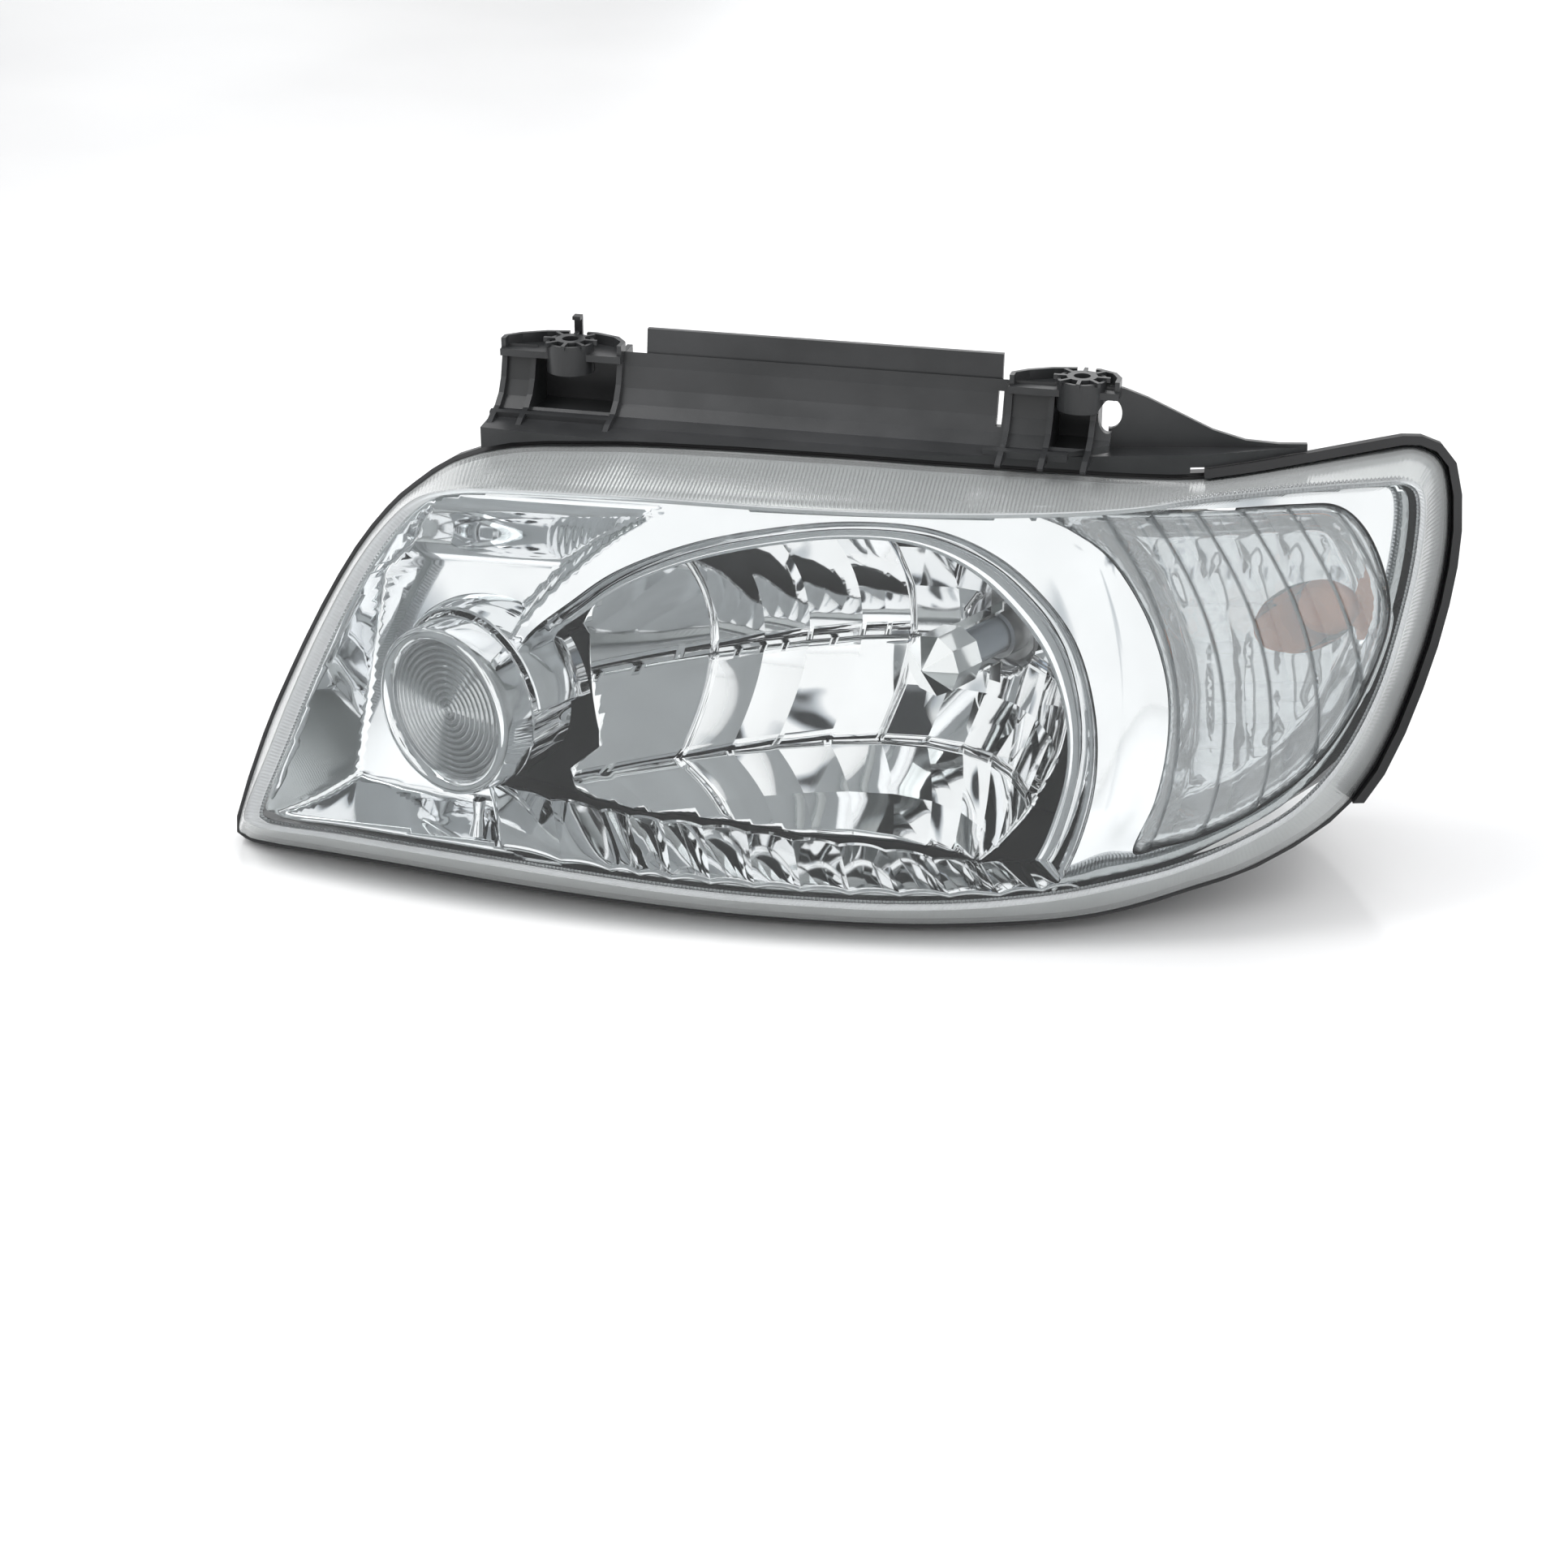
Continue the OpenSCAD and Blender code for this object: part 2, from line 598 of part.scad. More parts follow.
module bulb_shield() color("gainsboro") {
    place() translate([lamp_axis.x, 98, lamp_axis.y]) rotate([90, 0, 0]) difference() {
        union() {
            cylinder(h = 17, r = 14, $fn = 9);
            translate([0, 0, 17]) cylinder(h = 8, r1 = 14, r2 = 0.5, $fn = 9);
        }
        translate([0, 0, -1]) cylinder(h = 17, r = 12.4);
    }
    for (k = [-1, 1])
        box([lamp_axis.x - 3, 96, lamp_axis.y + 12 * k - 0.6], [lamp_axis.x + 3, 129, lamp_axis.y + 12 * k + 0.6]);
    for (k = [-1, 1])
        box([lamp_axis.x - 3, 127.8, lamp_axis.y + 17 * k - 5.6], [lamp_axis.x + 3, 129, lamp_axis.y + 17 * k + 5.6]);
}
module main_bulb_flange() color("silver") difference() {
    union() {
        rod_y(lamp_axis, bulb_flange_r, 138.1, 139.9);
        rod_y(lamp_axis, 11, 127, 139);
        rod_y(lamp_axis, 14, 139.5, 150);
    }
    rod_y(lamp_axis, 8.8, 126, 134);
}
module main_bulb_glass() color("lightblue", 0.5) turned_y(lamp_axis) polygon([
    [0, 93], [4.2, 94], [7.2, 96.5], [bulb_r, 100], [bulb_r, 133.5], [7.3, 133.5],
    [7.3, 100.5], [6, 98], [3.6, 95.8], [0, 94.8]
]);
module main_bulb_filaments() color("silver") {
    for (p = [[0, 104], [2.5, 112]])
        place() translate([lamp_axis.x - 0.8, p.y, lamp_axis.y + p.x]) rotate([-90, 0, 0]) cylinder(h = 5, r = 0.8);
    rod_y([lamp_axis.x - 3, lamp_axis.y - 2], 0.5, 103, 133.5);
    rod_y([lamp_axis.x + 3, lamp_axis.y - 2], 0.5, 103, 133.5);
    box([lamp_axis.x - 3.6, 108, lamp_axis.y - 3.2], [lamp_axis.x + 3.6, 117, lamp_axis.y - 2.4]);
}
module main_bulb_blades() color("silver") {
    box([lamp_axis.x - 4, 150.1, lamp_axis.y + 8], [lamp_axis.x + 4, 160, lamp_axis.y + 8.8]);
    for (k = [-1, 1])
        box([lamp_axis.x + 8 * k - 0.4, 150.1, lamp_axis.y - 6], [lamp_axis.x + 8 * k + 0.4, 160, lamp_axis.y + 2]);
}
clip_hinge = [lamp_axis.x, 142.6, lamp_axis.y - 28];
// A flat spring wire that swings about its foot and presses the bulb's flange home.
module bulb_clip() color("silver") plate_y(clip_hinge.y - 0.8, clip_hinge.y + 0.8)
    translate([clip_hinge.x, clip_hinge.z]) difference() {
        polygon([[-19, -1], [19, -1], [19, 1], [16, 44], [6, 53], [-6, 53], [-16, 44], [-19, 1]]);
        polygon([[-17, 1], [17, 1], [14.2, 43.4], [5.2, 51], [-5.2, 51], [-14.2, 43.4]]);
        translate([-4, -2]) square([8, 4]);
    }
module clip_screw() color("silver") {
    difference() {
        rod_y([clip_hinge.x, clip_hinge.z - 2], 3, 138.1, 141);
        rod_y([clip_hinge.x, clip_hinge.z - 2], 1.2, 140, 142);
    }
}

// ---- adjusters ----
module level_motor() color("#2b2d2f") difference() {
    union() {
        rod_y([level_ball.x, level_ball.z], 13, main_rear - 5, main_rear + 6);
        rod_y([level_ball.x, level_ball.z], 23, main_rear + 5.4, main_rear + 40);
        box([-118, main_rear + 12, level_ball.z - 8], [-90, main_rear + 34, level_ball.z + 8]);
    }
    rod_y([level_ball.x, level_ball.z], 4, main_rear - 6, main_rear + 33);
    box([-119, main_rear + 14, level_ball.z - 6], [-103, main_rear + 32, level_ball.z + 6]);
}
module level_motor_pins() color("gold")
    for (k = [-1, 0, 1])
        box([-106.5, main_rear + 22.5 + 5 * k, level_ball.z - 0.4],
            [-103, main_rear + 23.5 + 5 * k, level_ball.z + 0.4]);
module level_motor_cover() color("#3a3d40")
    turned_y([level_ball.x, level_ball.z]) polygon([[0, main_rear + 40.1], [22, main_rear + 40.1],
        [21, main_rear + 43], [0, main_rear + 43]]);
module knob(p, y0, y1, r, lobes) {
    difference() {
        rod_y(p, r, y0, y1);
        for (i = [0:lobes - 1])
            rod_y(p + (r + 0.9) * [cos(i * 360 / lobes), sin(i * 360 / lobes)], 1.8, y0 - 1, y1 + 1);
    }
}
module level_wheel() color("white")
    knob([level_ball.x, level_ball.z], main_rear + 43.5, main_rear + 52, 9, 12);
module aim_bushing() color("white") difference() {
    union() {
        rod_y([aim_ball.x, aim_ball.z], 7.8, main_rear - 6, main_rear + 8);
        rod_y([aim_ball.x, aim_ball.z], 11, main_rear + 5.2, main_rear + 9);
    }
    rod_y([aim_ball.x, aim_ball.z], 4, main_rear - 8, main_rear + 12);
}
module aim_knob() color("white") difference() {
    knob([aim_ball.x, aim_ball.z], main_rear + 9.5, main_rear + 32, 10, 10);
    rod_y([aim_ball.x, aim_ball.z], 4, main_rear + 9, main_rear + 29);
}
module breather_caps() color("black")
    for (p = [[38, 30], [-77.5, 104]])
        turned_y(p) polygon([[0, main_rear + 0.1], [6, main_rear + 0.1], [6, main_rear + 9],
            [8, main_rear + 9], [8, main_rear + 14], [6.5, main_rear + 16], [0, main_rear + 16]]);

// ---- covers and small bulbs ----
module dust_cap() color("black") {
    turned_y(lamp_axis) polygon([[49.4, main_rear + 5.6], [52, main_rear + 5.6],
        [52, main_rear + 16], [49, main_rear + 48], [45, main_rear + 52], [0, main_rear + 52],
        [0, main_rear + 49.4], [43.6, main_rear + 49.4], [46.4, main_rear + 46.5],
        [49.4, main_rear + 15.5]]);
    for (a = [0:120:240])
        place() translate([lamp_axis.x, main_rear + 52, lamp_axis.y]) rotate([90, a, 0])
            translate([0, 8, -5]) linear_extrude(6) polygon([[-2, 0], [2, 0], [2, 34], [-2, 34]]);
}
module dust_cap_gasket() color("#222222") turned_y(lamp_axis)
    polygon([[46, main_rear + 13.2], [49, main_rear + 13.2], [49, main_rear + 15.2], [46, main_rear + 15.2]]);
module holder(p, y0, neck_r, flange_r, neck_l, ear) {
    rod_y(p, neck_r, y0 - neck_l, y0 + 1);
    rod_y(p, flange_r, y0 + 0.6, y0 + 4);
    difference() {
        box([p.x - ear, y0 + 3.6, p.y - 8], [p.x + ear, y0 + 22, p.y + 8]);
        box([p.x - ear + 2, y0 + 9, p.y - 6], [p.x + ear - 2, y0 + 30, p.y + 6]);
    }
}
turn_seat = turn_rear + 10;
position_seat = 40;
module turn_holder() color("#55585b") holder(turn_axis, turn_seat, 13, 21, 30, 12);
module turn_gasket() color("black") difference() {
    rod_y(turn_axis, 20, turn_seat - 1.9, turn_seat + 0.5);
    rod_y(turn_axis, 13.2, turn_seat - 3, turn_seat + 2);
}
module turn_pins() color("gold")
    for (k = [-1, 1])
        box([turn_axis.x + 4 * k - 0.5, turn_seat + 9, turn_axis.y - 1.5],
            [turn_axis.x + 4 * k + 0.5, turn_seat + 12.5, turn_axis.y + 1.5]);
turn_glass_y = 170;
module turn_bulb() color("orange") turned_y(turn_axis) polygon([
    [0, turn_glass_y], [6, turn_glass_y + 1], [10, turn_glass_y + 4], [12.6, turn_glass_y + 9],
    [13.2, turn_glass_y + 14], [12.2, turn_glass_y + 20], [8.6, turn_glass_y + 27],
    [7.5, turn_glass_y + 31], [6.6, turn_glass_y + 31], [7.8, turn_glass_y + 26.6],
    [11.3, turn_glass_y + 19.6], [12.3, turn_glass_y + 14], [11.8, turn_glass_y + 9.3],
    [9.4, turn_glass_y + 4.9], [5.6, turn_glass_y + 2], [0, turn_glass_y + 1]
]);
module turn_bulb_base() color("silver") {
    rod_y(turn_axis, 7.6, turn_glass_y + 31.1, turn_seat - 30.1);
    for (k = [-1, 1])
        rod_y(turn_axis + [8 * k, 0], 0.9, turn_seat - 33, turn_seat - 30.1);
}
module position_holder() color("#55585b") holder(position_axis, position_seat, 10, 16, 36, 9);
module position_gasket() color("black") difference() {
    rod_y(position_axis, 15, position_seat - 1.9, position_seat + 0.5);
    rod_y(position_axis, 10.2, position_seat - 3, position_seat + 2);
}
module position_pins() color("gold")
    for (k = [-1, 1])
        box([position_axis.x + 3 * k - 0.4, position_seat + 9, position_axis.y - 1.2],
            [position_axis.x + 3 * k + 0.4, position_seat + 12.5, position_axis.y + 1.2]);
module position_bulb() color("white", 0.6) turned_y(position_axis) polygon([
    [0, -18], [3, -17.4], [4.6, -15], [5, -11], [5, 2], [4, 3.9], [0, 3.9]
]);

housing();
outer_lens();
lens_sealant();
edge_seal();
top_bracket();
bracket_screws();
locating_clip();
bezel();
position_barrel();
position_trim_ring();
position_reflector();
position_lens();
turn_lens();
turn_reflector();
pivot_stud();
level_motor();
level_motor_cover();
level_motor_pins();
aim_bushing();
breather_caps();
pivot_socket();
main_reflector();
aim_frame();
bulb_shield();
main_bulb_flange();
main_bulb_glass();
main_bulb_filaments();
main_bulb_blades();
level_socket();
aim_socket();
clip_screw();
bulb_clip();
level_rod();
level_wheel();
aim_rod();
aim_knob();
dust_cap();
dust_cap_gasket();
turn_holder();
turn_gasket();
turn_bulb();
turn_bulb_base();
turn_pins();
position_holder();
position_gasket();
position_bulb();
position_pins();
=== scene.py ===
import math

import bmesh
import bpy
import numpy as np
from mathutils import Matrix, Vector
from mathutils.geometry import delaunay_2d_cdt


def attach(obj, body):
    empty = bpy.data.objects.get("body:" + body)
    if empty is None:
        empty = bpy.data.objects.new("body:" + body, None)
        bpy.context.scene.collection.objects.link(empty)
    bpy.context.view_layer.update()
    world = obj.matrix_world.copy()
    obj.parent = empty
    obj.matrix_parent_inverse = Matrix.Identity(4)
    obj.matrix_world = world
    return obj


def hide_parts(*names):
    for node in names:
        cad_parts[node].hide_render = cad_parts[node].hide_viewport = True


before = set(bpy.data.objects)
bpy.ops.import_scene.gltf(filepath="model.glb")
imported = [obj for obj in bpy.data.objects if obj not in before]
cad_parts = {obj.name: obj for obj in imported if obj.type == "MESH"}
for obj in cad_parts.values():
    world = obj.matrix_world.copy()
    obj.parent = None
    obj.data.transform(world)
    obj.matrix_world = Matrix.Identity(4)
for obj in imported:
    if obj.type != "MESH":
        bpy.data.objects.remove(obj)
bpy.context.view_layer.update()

# Left-hand car headlight: the looks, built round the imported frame.
# Places are in millimetres in the lamp's own axes (+X outboard, -Y forward, +Z up) or in
# face coordinates: u across the lens, v up it and a depth behind its spherical surface.

# ---------------------------------------------------------------- places
ORIGIN = np.array([54.1, -76.7, 3.0])
FACE = np.array([0.0, 0.0, 100.0])
SWEEP = math.radians(33)
LEAN = math.radians(12)
LENS_R = 720.0
FLANGE_TILT = math.radians(9)
SKIRT = 30.0
AXIS_U = np.array([math.cos(SWEEP), math.sin(SWEEP), 0.0])
AXIS_W = np.array([math.sin(SWEEP) * math.cos(LEAN), -math.cos(SWEEP) * math.cos(LEAN), math.sin(LEAN)])
AXIS_V = np.cross(AXIS_W, AXIS_U)

LAMP_AXIS = (-15.0, 91.0)
LAMP_VERTEX_Y = 135.0
FOCAL = 25.0
POSITION_AXIS = (-169.0, 76.0)
POSITION_Y = -66.0
TURN_AXIS = (120.0, 122.0)
BEZEL_DEPTH = 13.0

EDGE = [
    (-256, -74), (-267, -72.5), (-268.5, -66), (-256, -37.5), (-243.5, -9), (-228, 23),
    (-212.5, 50), (-198, 68.5), (-185, 79), (-168, 83.5), (-147, 84.7), (-118, 85), (-84, 85),
    (-16, 83.5), (34, 83.5), (83, 85), (116, 87.6), (146, 92), (182, 96), (215, 98.5),
    (229, 98.5), (235, 91), (234.5, 69), (230, 42.5), (222, 12), (208.5, -17), (190.5, -39),
    (166, -54.5), (141, -65.5), (116, -72.7), (90, -78.5), (56, -83), (22, -85), (-12, -85),
    (-47, -84.3), (-82, -82.5), (-117, -80), (-154, -77.5), (-191, -75.5), (-229, -74),
]
FLANGE = [
    (-262, -84.5), (-274, -83), (-277, -76), (-264, -37), (-252, -9), (-237, 22), (-222, 48),
    (-208, 66), (-196, 77), (-178, 89), (-152, 96.5), (-120, 99), (-84, 100), (-18, 99),
    (33, 97), (82, 95), (115, 93.5), (146, 94), (184, 100), (218, 106), (235, 107.5),
    (247, 99), (250, 73), (246, 43), (236.5, 9), (222, -26), (203, -48.5), (173, -67),
    (145, -77), (118, -85.5), (92, -90.5), (57, -93.5), (22, -95), (-12, -95), (-47, -94.3),
    (-83, -92.7), (-119, -90.8), (-156, -88.6), (-194, -86.3), (-232, -85),
]
# Front edge of the arch round the main reflector, clockwise from its inboard end.
ARCH = [
    (-143, 12), (-137, 23), (-120, 37), (-99, 52), (-68, 65), (-34, 73), (0, 77), (33, 75),
    (60, 64.5), (81, 47), (95, 27), (103, 0), (104.5, -27), (100, -52), (92, -72),
    (82, -78.5), (50, -80.5), (-10, -81), (-70, -79.5), (-120, -77), (-148, -74),
    (-158, -60), (-156, -30), (-150, -5),
]
TURN = [
    (72, 83.5), (98, 84), (149, 85.5), (182, 87.5), (199, 87), (211, 78), (220, 61), (224, 42),
    (220, 22), (210, -2), (195, -24), (174, -41), (152, -52.5), (134, -58), (121, -60),
    (129, -38), (133, -15), (132.5, 8), (127, 29), (118, 48), (105, 65.5), (89, 76),
]


def cubic(a, b, c, d, t):
    """The smooth curve from b to c, at t from 0 to 1, with a before it and d after it."""
    steep, bend = 2 * a - 5 * b + 4 * c - d, 3 * b - a - 3 * c + d
    return (2 * b + (c - a) * t + steep * t ** 2 + bend * t ** 3) / 2


def spline(points, per):
    """A closed smooth loop through the points, with per steps between each two."""
    p = np.array(points, float)
    before, after, last = np.roll(p, 1, 0), np.roll(p, -1, 0), np.roll(p, -2, 0)
    t = (np.arange(per) / per)[None, :, None]
    a, b, c, d = (q[:, None, :] for q in (before, p, after, last))
    return cubic(a, b, c, d, t).reshape(-1, 2)


def open_line(points, count):
    """A smooth open line through the points, resampled to count even steps."""
    p = np.array(points, float)
    full = np.vstack([2 * p[0] - p[1], p, 2 * p[-1] - p[-2]])
    steps = np.linspace(0, len(p) - 1, 40 * len(p))
    k = np.minimum(steps.astype(int), len(p) - 2)
    t = (steps - k)[:, None]
    a, b, c, d = full[k], full[k + 1], full[k + 2], full[k + 3]
    return even(cubic(a, b, c, d, t), count)


def even(line, count):
    """A line resampled to count points, evenly spaced along it."""
    run = np.concatenate([[0], np.cumsum(np.linalg.norm(np.diff(line, axis=0), axis=1))])
    want = np.linspace(0, run[-1], count)
    return np.stack([np.interp(want, run, line[:, i]) for i in range(line.shape[1])], 1)


def lens_w(uv, depth):
    """Height above the face of the lens's sphere, moved back by depth."""
    uv = np.asarray(uv, float)
    return np.sqrt((LENS_R - depth) ** 2 - (uv ** 2).sum(-1)) - LENS_R


def flange_w(uv):
    """Height above the face of the flange, which is the same sphere tilted and moved back."""
    uv = np.asarray(uv, float)
    centre_v = -LENS_R * math.sin(FLANGE_TILT)
    centre_w = -SKIRT - LENS_R * math.cos(FLANGE_TILT)
    return centre_w + np.sqrt(LENS_R ** 2 - uv[..., 0] ** 2 - (uv[..., 1] - centre_v) ** 2)


def face(uv, w):
    """Points in the lamp's axes from face coordinates and their height above the face."""
    uv = np.asarray(uv, float)
    w = np.broadcast_to(np.asarray(w, float), uv.shape[:-1])
    return FACE + uv[..., :1] * AXIS_U + uv[..., 1:2] * AXIS_V + w[..., None] * AXIS_W


def behind_lens(uv, depth):
    """Points in the lamp's axes, depth behind the lens's surface."""
    return face(uv, lens_w(uv, depth))


def inside(loop, points):
    """Which points lie inside a closed loop."""
    x, y = points[:, 0], points[:, 1]
    hit = np.zeros(len(points), bool)
    for (x0, y0), (x1, y1) in zip(loop, np.roll(loop, -1, 0)):
        if y0 != y1:
            hit ^= ((y0 > y) != (y1 > y)) & (x < (x1 - x0) * (y - y0) / (y1 - y0) + x0)
    return hit


def distance_to(line, points):
    """Distance from each point to an open line."""
    best = np.full(len(points), 1e9)
    for a, b in zip(line[:-1], line[1:]):
        ab = b - a
        t = np.clip(((points - a) @ ab) / max(ab @ ab, 1e-9), 0, 1)
        best = np.minimum(best, np.linalg.norm(points - a - t[:, None] * ab, axis=1))
    return best


def smooth_step(x, low, high):
    """0 below low, 1 above high and a smooth rise between them."""
    t = np.clip((x - low) / (high - low), 0, 1)
    return t * t * (3 - 2 * t)


def circle_on(axis, radius, depth, start_y, count):
    """Where a cylinder along Y meets a surface: face coordinates of count points round it."""
    hole = []
    for a in np.linspace(0, 2 * math.pi, count, endpoint=False):
        x, z = axis[0] + radius * math.cos(a), axis[1] + radius * math.sin(a)
        y = start_y
        for _ in range(40):
            rel = np.array([x, y, z]) - FACE
            uv = np.array([[rel @ AXIS_U, rel @ AXIS_V]])
            miss = rel @ AXIS_W - lens_w(uv, depth(uv))[0]
            y += miss / math.cos(SWEEP) / math.cos(LEAN) * 0.6
        rel = np.array([x, y, z]) - FACE
        hole.append((rel @ AXIS_U, rel @ AXIS_V))
    return np.array(hole)


# ---------------------------------------------------------------- mesh code
MERGE = 0.02


class Skin:
    """Collects patches in millimetres and makes one object of them, in metres."""

    def __init__(self):
        self.points, self.faces, self.cells, self.slots, self.count = [], [], [], [], 0

    def add(self, points, faces, cell=0, slot=0):
        points = np.asarray(points, float).reshape(-1, 3)
        self.points.append(points)
        self.faces += [tuple(i + self.count for i in f) for f in faces]
        self.cells += list(cell) if hasattr(cell, "__len__") else [cell] * len(faces)
        self.slots += list(slot) if hasattr(slot, "__len__") else [slot] * len(faces)
        self.count += len(points)

    def grid(self, points, cell=0, slot=0, wrap=False):
        """A sheet of quads through a grid of points, closed round its second way if wrap."""
        points = np.asarray(points, float)
        rows, cols = points.shape[:2]
        last = cols if wrap else cols - 1
        faces = []
        for r in range(rows - 1):
            for c in range(last):
                d = (c + 1) % cols
                quad = (r * cols + c, r * cols + d, (r + 1) * cols + d, (r + 1) * cols + c)
                faces.append(quad)
        self.add(points, faces, cell, slot)

    def turned(self, axis, profile, count=96, arc=(0, 360), radius=None, split=()):
        """A turned sheet about an axis along Y, with a crease at each place in split.

        The profile is (radius, y) pairs, and radius may change them by angle."""
        whole = arc[1] - arc[0] >= 360
        angles = np.radians(np.linspace(arc[0], arc[1], count + (not whole), endpoint=not whole))
        rows = []
        for r, y in profile:
            rr = r if radius is None else radius(r, y, angles)
            rows.append(np.stack([axis[0] + rr * np.cos(angles), np.full(len(angles), float(y)),
                                  axis[1] + rr * np.sin(angles)], 1))
        rows = np.array(rows)
        marks = [0, *split, len(rows) - 1]
        for k, (a, b) in enumerate(zip(marks[:-1], marks[1:])):
            self.grid(rows[a:b + 1], cell=k, wrap=whole)

    def build(self, name, materials, thickness=0.0, outward=None):
        """One object of all the patches, creased between cells and thickened inwards."""
        mesh = bpy.data.meshes.new(name)
        points = (np.vstack(self.points) + ORIGIN) / 1000
        mesh.from_pydata(points.tolist(), [], self.faces)
        mesh.polygons.foreach_set("material_index", self.slots)
        kind = mesh.attributes.new("cell", "INT", "FACE")
        kind.data.foreach_set("value", np.array(self.cells, np.int32))
        bm = bmesh.new()
        bm.from_mesh(mesh)
        bmesh.ops.remove_doubles(bm, verts=bm.verts, dist=MERGE / 1000)
        flat = [f for f in bm.faces if f.calc_area() < 1e-12]
        bmesh.ops.delete(bm, geom=flat, context="FACES")
        layer = bm.faces.layers.int["cell"]
        for f in bm.faces:
            f.smooth = True
        for e in bm.edges:
            if len(e.link_faces) == 2 and e.link_faces[0][layer] != e.link_faces[1][layer]:
                e.smooth = False
        if outward is not None:
            bmesh.ops.recalc_face_normals(bm, faces=bm.faces)
            total = sum((f.normal.dot(Vector(outward)) * f.calc_area() for f in bm.faces), 0.0)
            if total < 0:
                bmesh.ops.reverse_faces(bm, faces=bm.faces)
        bm.to_mesh(mesh)
        bm.free()
        mesh.attributes.remove(mesh.attributes["cell"])
        for m in materials:
            mesh.materials.append(m)
        obj = bpy.data.objects.new(name, mesh)
        bpy.context.scene.collection.objects.link(obj)
        if thickness:
            solid = obj.modifiers.new("Thickness", "SOLIDIFY")
            solid.thickness = thickness / 1000
            solid.offset = -1.0
            solid.use_rim = True
        return obj


def fit_sheet(skin, outer, holes, depth, step, lines=(), cell=0):
    """A heightfield sheet in face coordinates, inside a loop and clear of the holes."""
    loops = [np.asarray(outer)] + [np.asarray(h) for h in holes]
    low, high = loops[0].min(0), loops[0].max(0)
    us = np.arange(low[0] + step / 2, high[0], step)
    rows = []
    for k, v in enumerate(np.arange(low[1] + step / 2, high[1], step * 0.866)):
        rows.append(np.stack([us + (step / 2) * (k % 2), np.full(len(us), v)], 1))
    inner = np.vstack(rows)
    ok = inside(loops[0], inner)
    for h in loops[1:]:
        ok &= ~inside(h, inner)
    for loop in loops:
        ok &= distance_to(np.vstack([loop, loop[:1]]), inner) > step * 0.45
    for line in lines:
        ok &= distance_to(line, inner) > step * 0.45
    inner = inner[ok]
    points, edges = [], []
    for loop in loops:
        n, s = len(loop), len(points)
        points += [tuple(p) for p in loop]
        edges += [(s + i, s + (i + 1) % n) for i in range(n)]
    for line in lines:
        s = len(points)
        points += [tuple(p) for p in line]
        edges += [(s + i, s + i + 1) for i in range(len(line) - 1)]
    points += [tuple(p) for p in inner]
    found = delaunay_2d_cdt([Vector(p) for p in points], edges, [], 0, 1e-4)
    uv = np.array([tuple(p) for p in found[0]])
    faces = np.array([tuple(f) for f in found[2]])
    centre = uv[faces].mean(1)
    ok = inside(loops[0], centre)
    for h in loops[1:]:
        ok &= ~inside(h, centre)
    faces = faces[ok]
    used, back = np.unique(faces, return_inverse=True)
    uv = uv[used]
    faces = back.reshape(-1, 3)
    if hasattr(cell, "__call__"):
        cell = cell(uv[faces].mean(1))
    skin.add(behind_lens(uv, depth(uv)), [tuple(f) for f in faces], cell)


def finish_piece(obj, body, slot, *nodes):
    """Hangs a piece on its body and hides the frame's nodes that it stands for. The slot is not used."""
    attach(obj, body)
    if nodes:
        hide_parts(*nodes)
    return obj


def bevel(obj, width):
    """Softens a piece's hard edges by width millimetres."""
    m = obj.modifiers.new("Bevel", "BEVEL")
    m.width = width / 1000
    m.segments = 2
    m.limit_method = "ANGLE"
    m.angle_limit = math.radians(35)
    m.harden_normals = True
    return obj


# ---------------------------------------------------------------- materials
def new_material(name):
    mat = bpy.data.materials.new(name)
    mat.use_nodes = True
    tree = mat.node_tree
    return mat, tree, tree.nodes["Principled BSDF"]


def noise(tree, scale, detail=4.0):
    """Noise over the piece's own coordinates."""
    where = tree.nodes.new("ShaderNodeTexCoord")
    n = tree.nodes.new("ShaderNodeTexNoise")
    n.inputs["Scale"].default_value = scale
    n.inputs["Detail"].default_value = detail
    tree.links.new(where.outputs["Object"], n.inputs["Vector"])
    return n.outputs["Fac"]


def ramp(tree, value, low, high, a, b):
    """Colour a below low and b above high."""
    r = tree.nodes.new("ShaderNodeValToRGB")
    r.color_ramp.elements[0].position = low
    r.color_ramp.elements[1].position = high
    r.color_ramp.elements[0].color = (*a, 1)
    r.color_ramp.elements[1].color = (*b, 1)
    tree.links.new(value, r.inputs["Fac"])
    return r.outputs["Color"]


def spread(tree, value, low, high):
    m = tree.nodes.new("ShaderNodeMapRange")
    m.inputs["To Min"].default_value = low
    m.inputs["To Max"].default_value = high
    tree.links.new(value, m.inputs["Value"])
    return m.outputs["Result"]


def bump(tree, shader, value, strength, distance):
    b = tree.nodes.new("ShaderNodeBump")
    b.inputs["Strength"].default_value = strength
    b.inputs["Distance"].default_value = distance
    tree.links.new(value, b.inputs["Height"])
    tree.links.new(b.outputs["Normal"], shader.inputs["Normal"])


def plastic(name, dark, light, rough=(0.35, 0.5), grain=900, grain_depth=0.00005, patch=30):
    """Moulded plastic: a fine grain, faint mottling and uneven gloss."""
    mat, tree, shader = new_material(name)
    tree.links.new(ramp(tree, noise(tree, patch, 6), 0.35, 0.7, dark, light), shader.inputs["Base Color"])
    tree.links.new(spread(tree, noise(tree, patch * 2, 5), *rough), shader.inputs["Roughness"])
    bump(tree, shader, noise(tree, grain, 3), 0.35, grain_depth)
    return mat


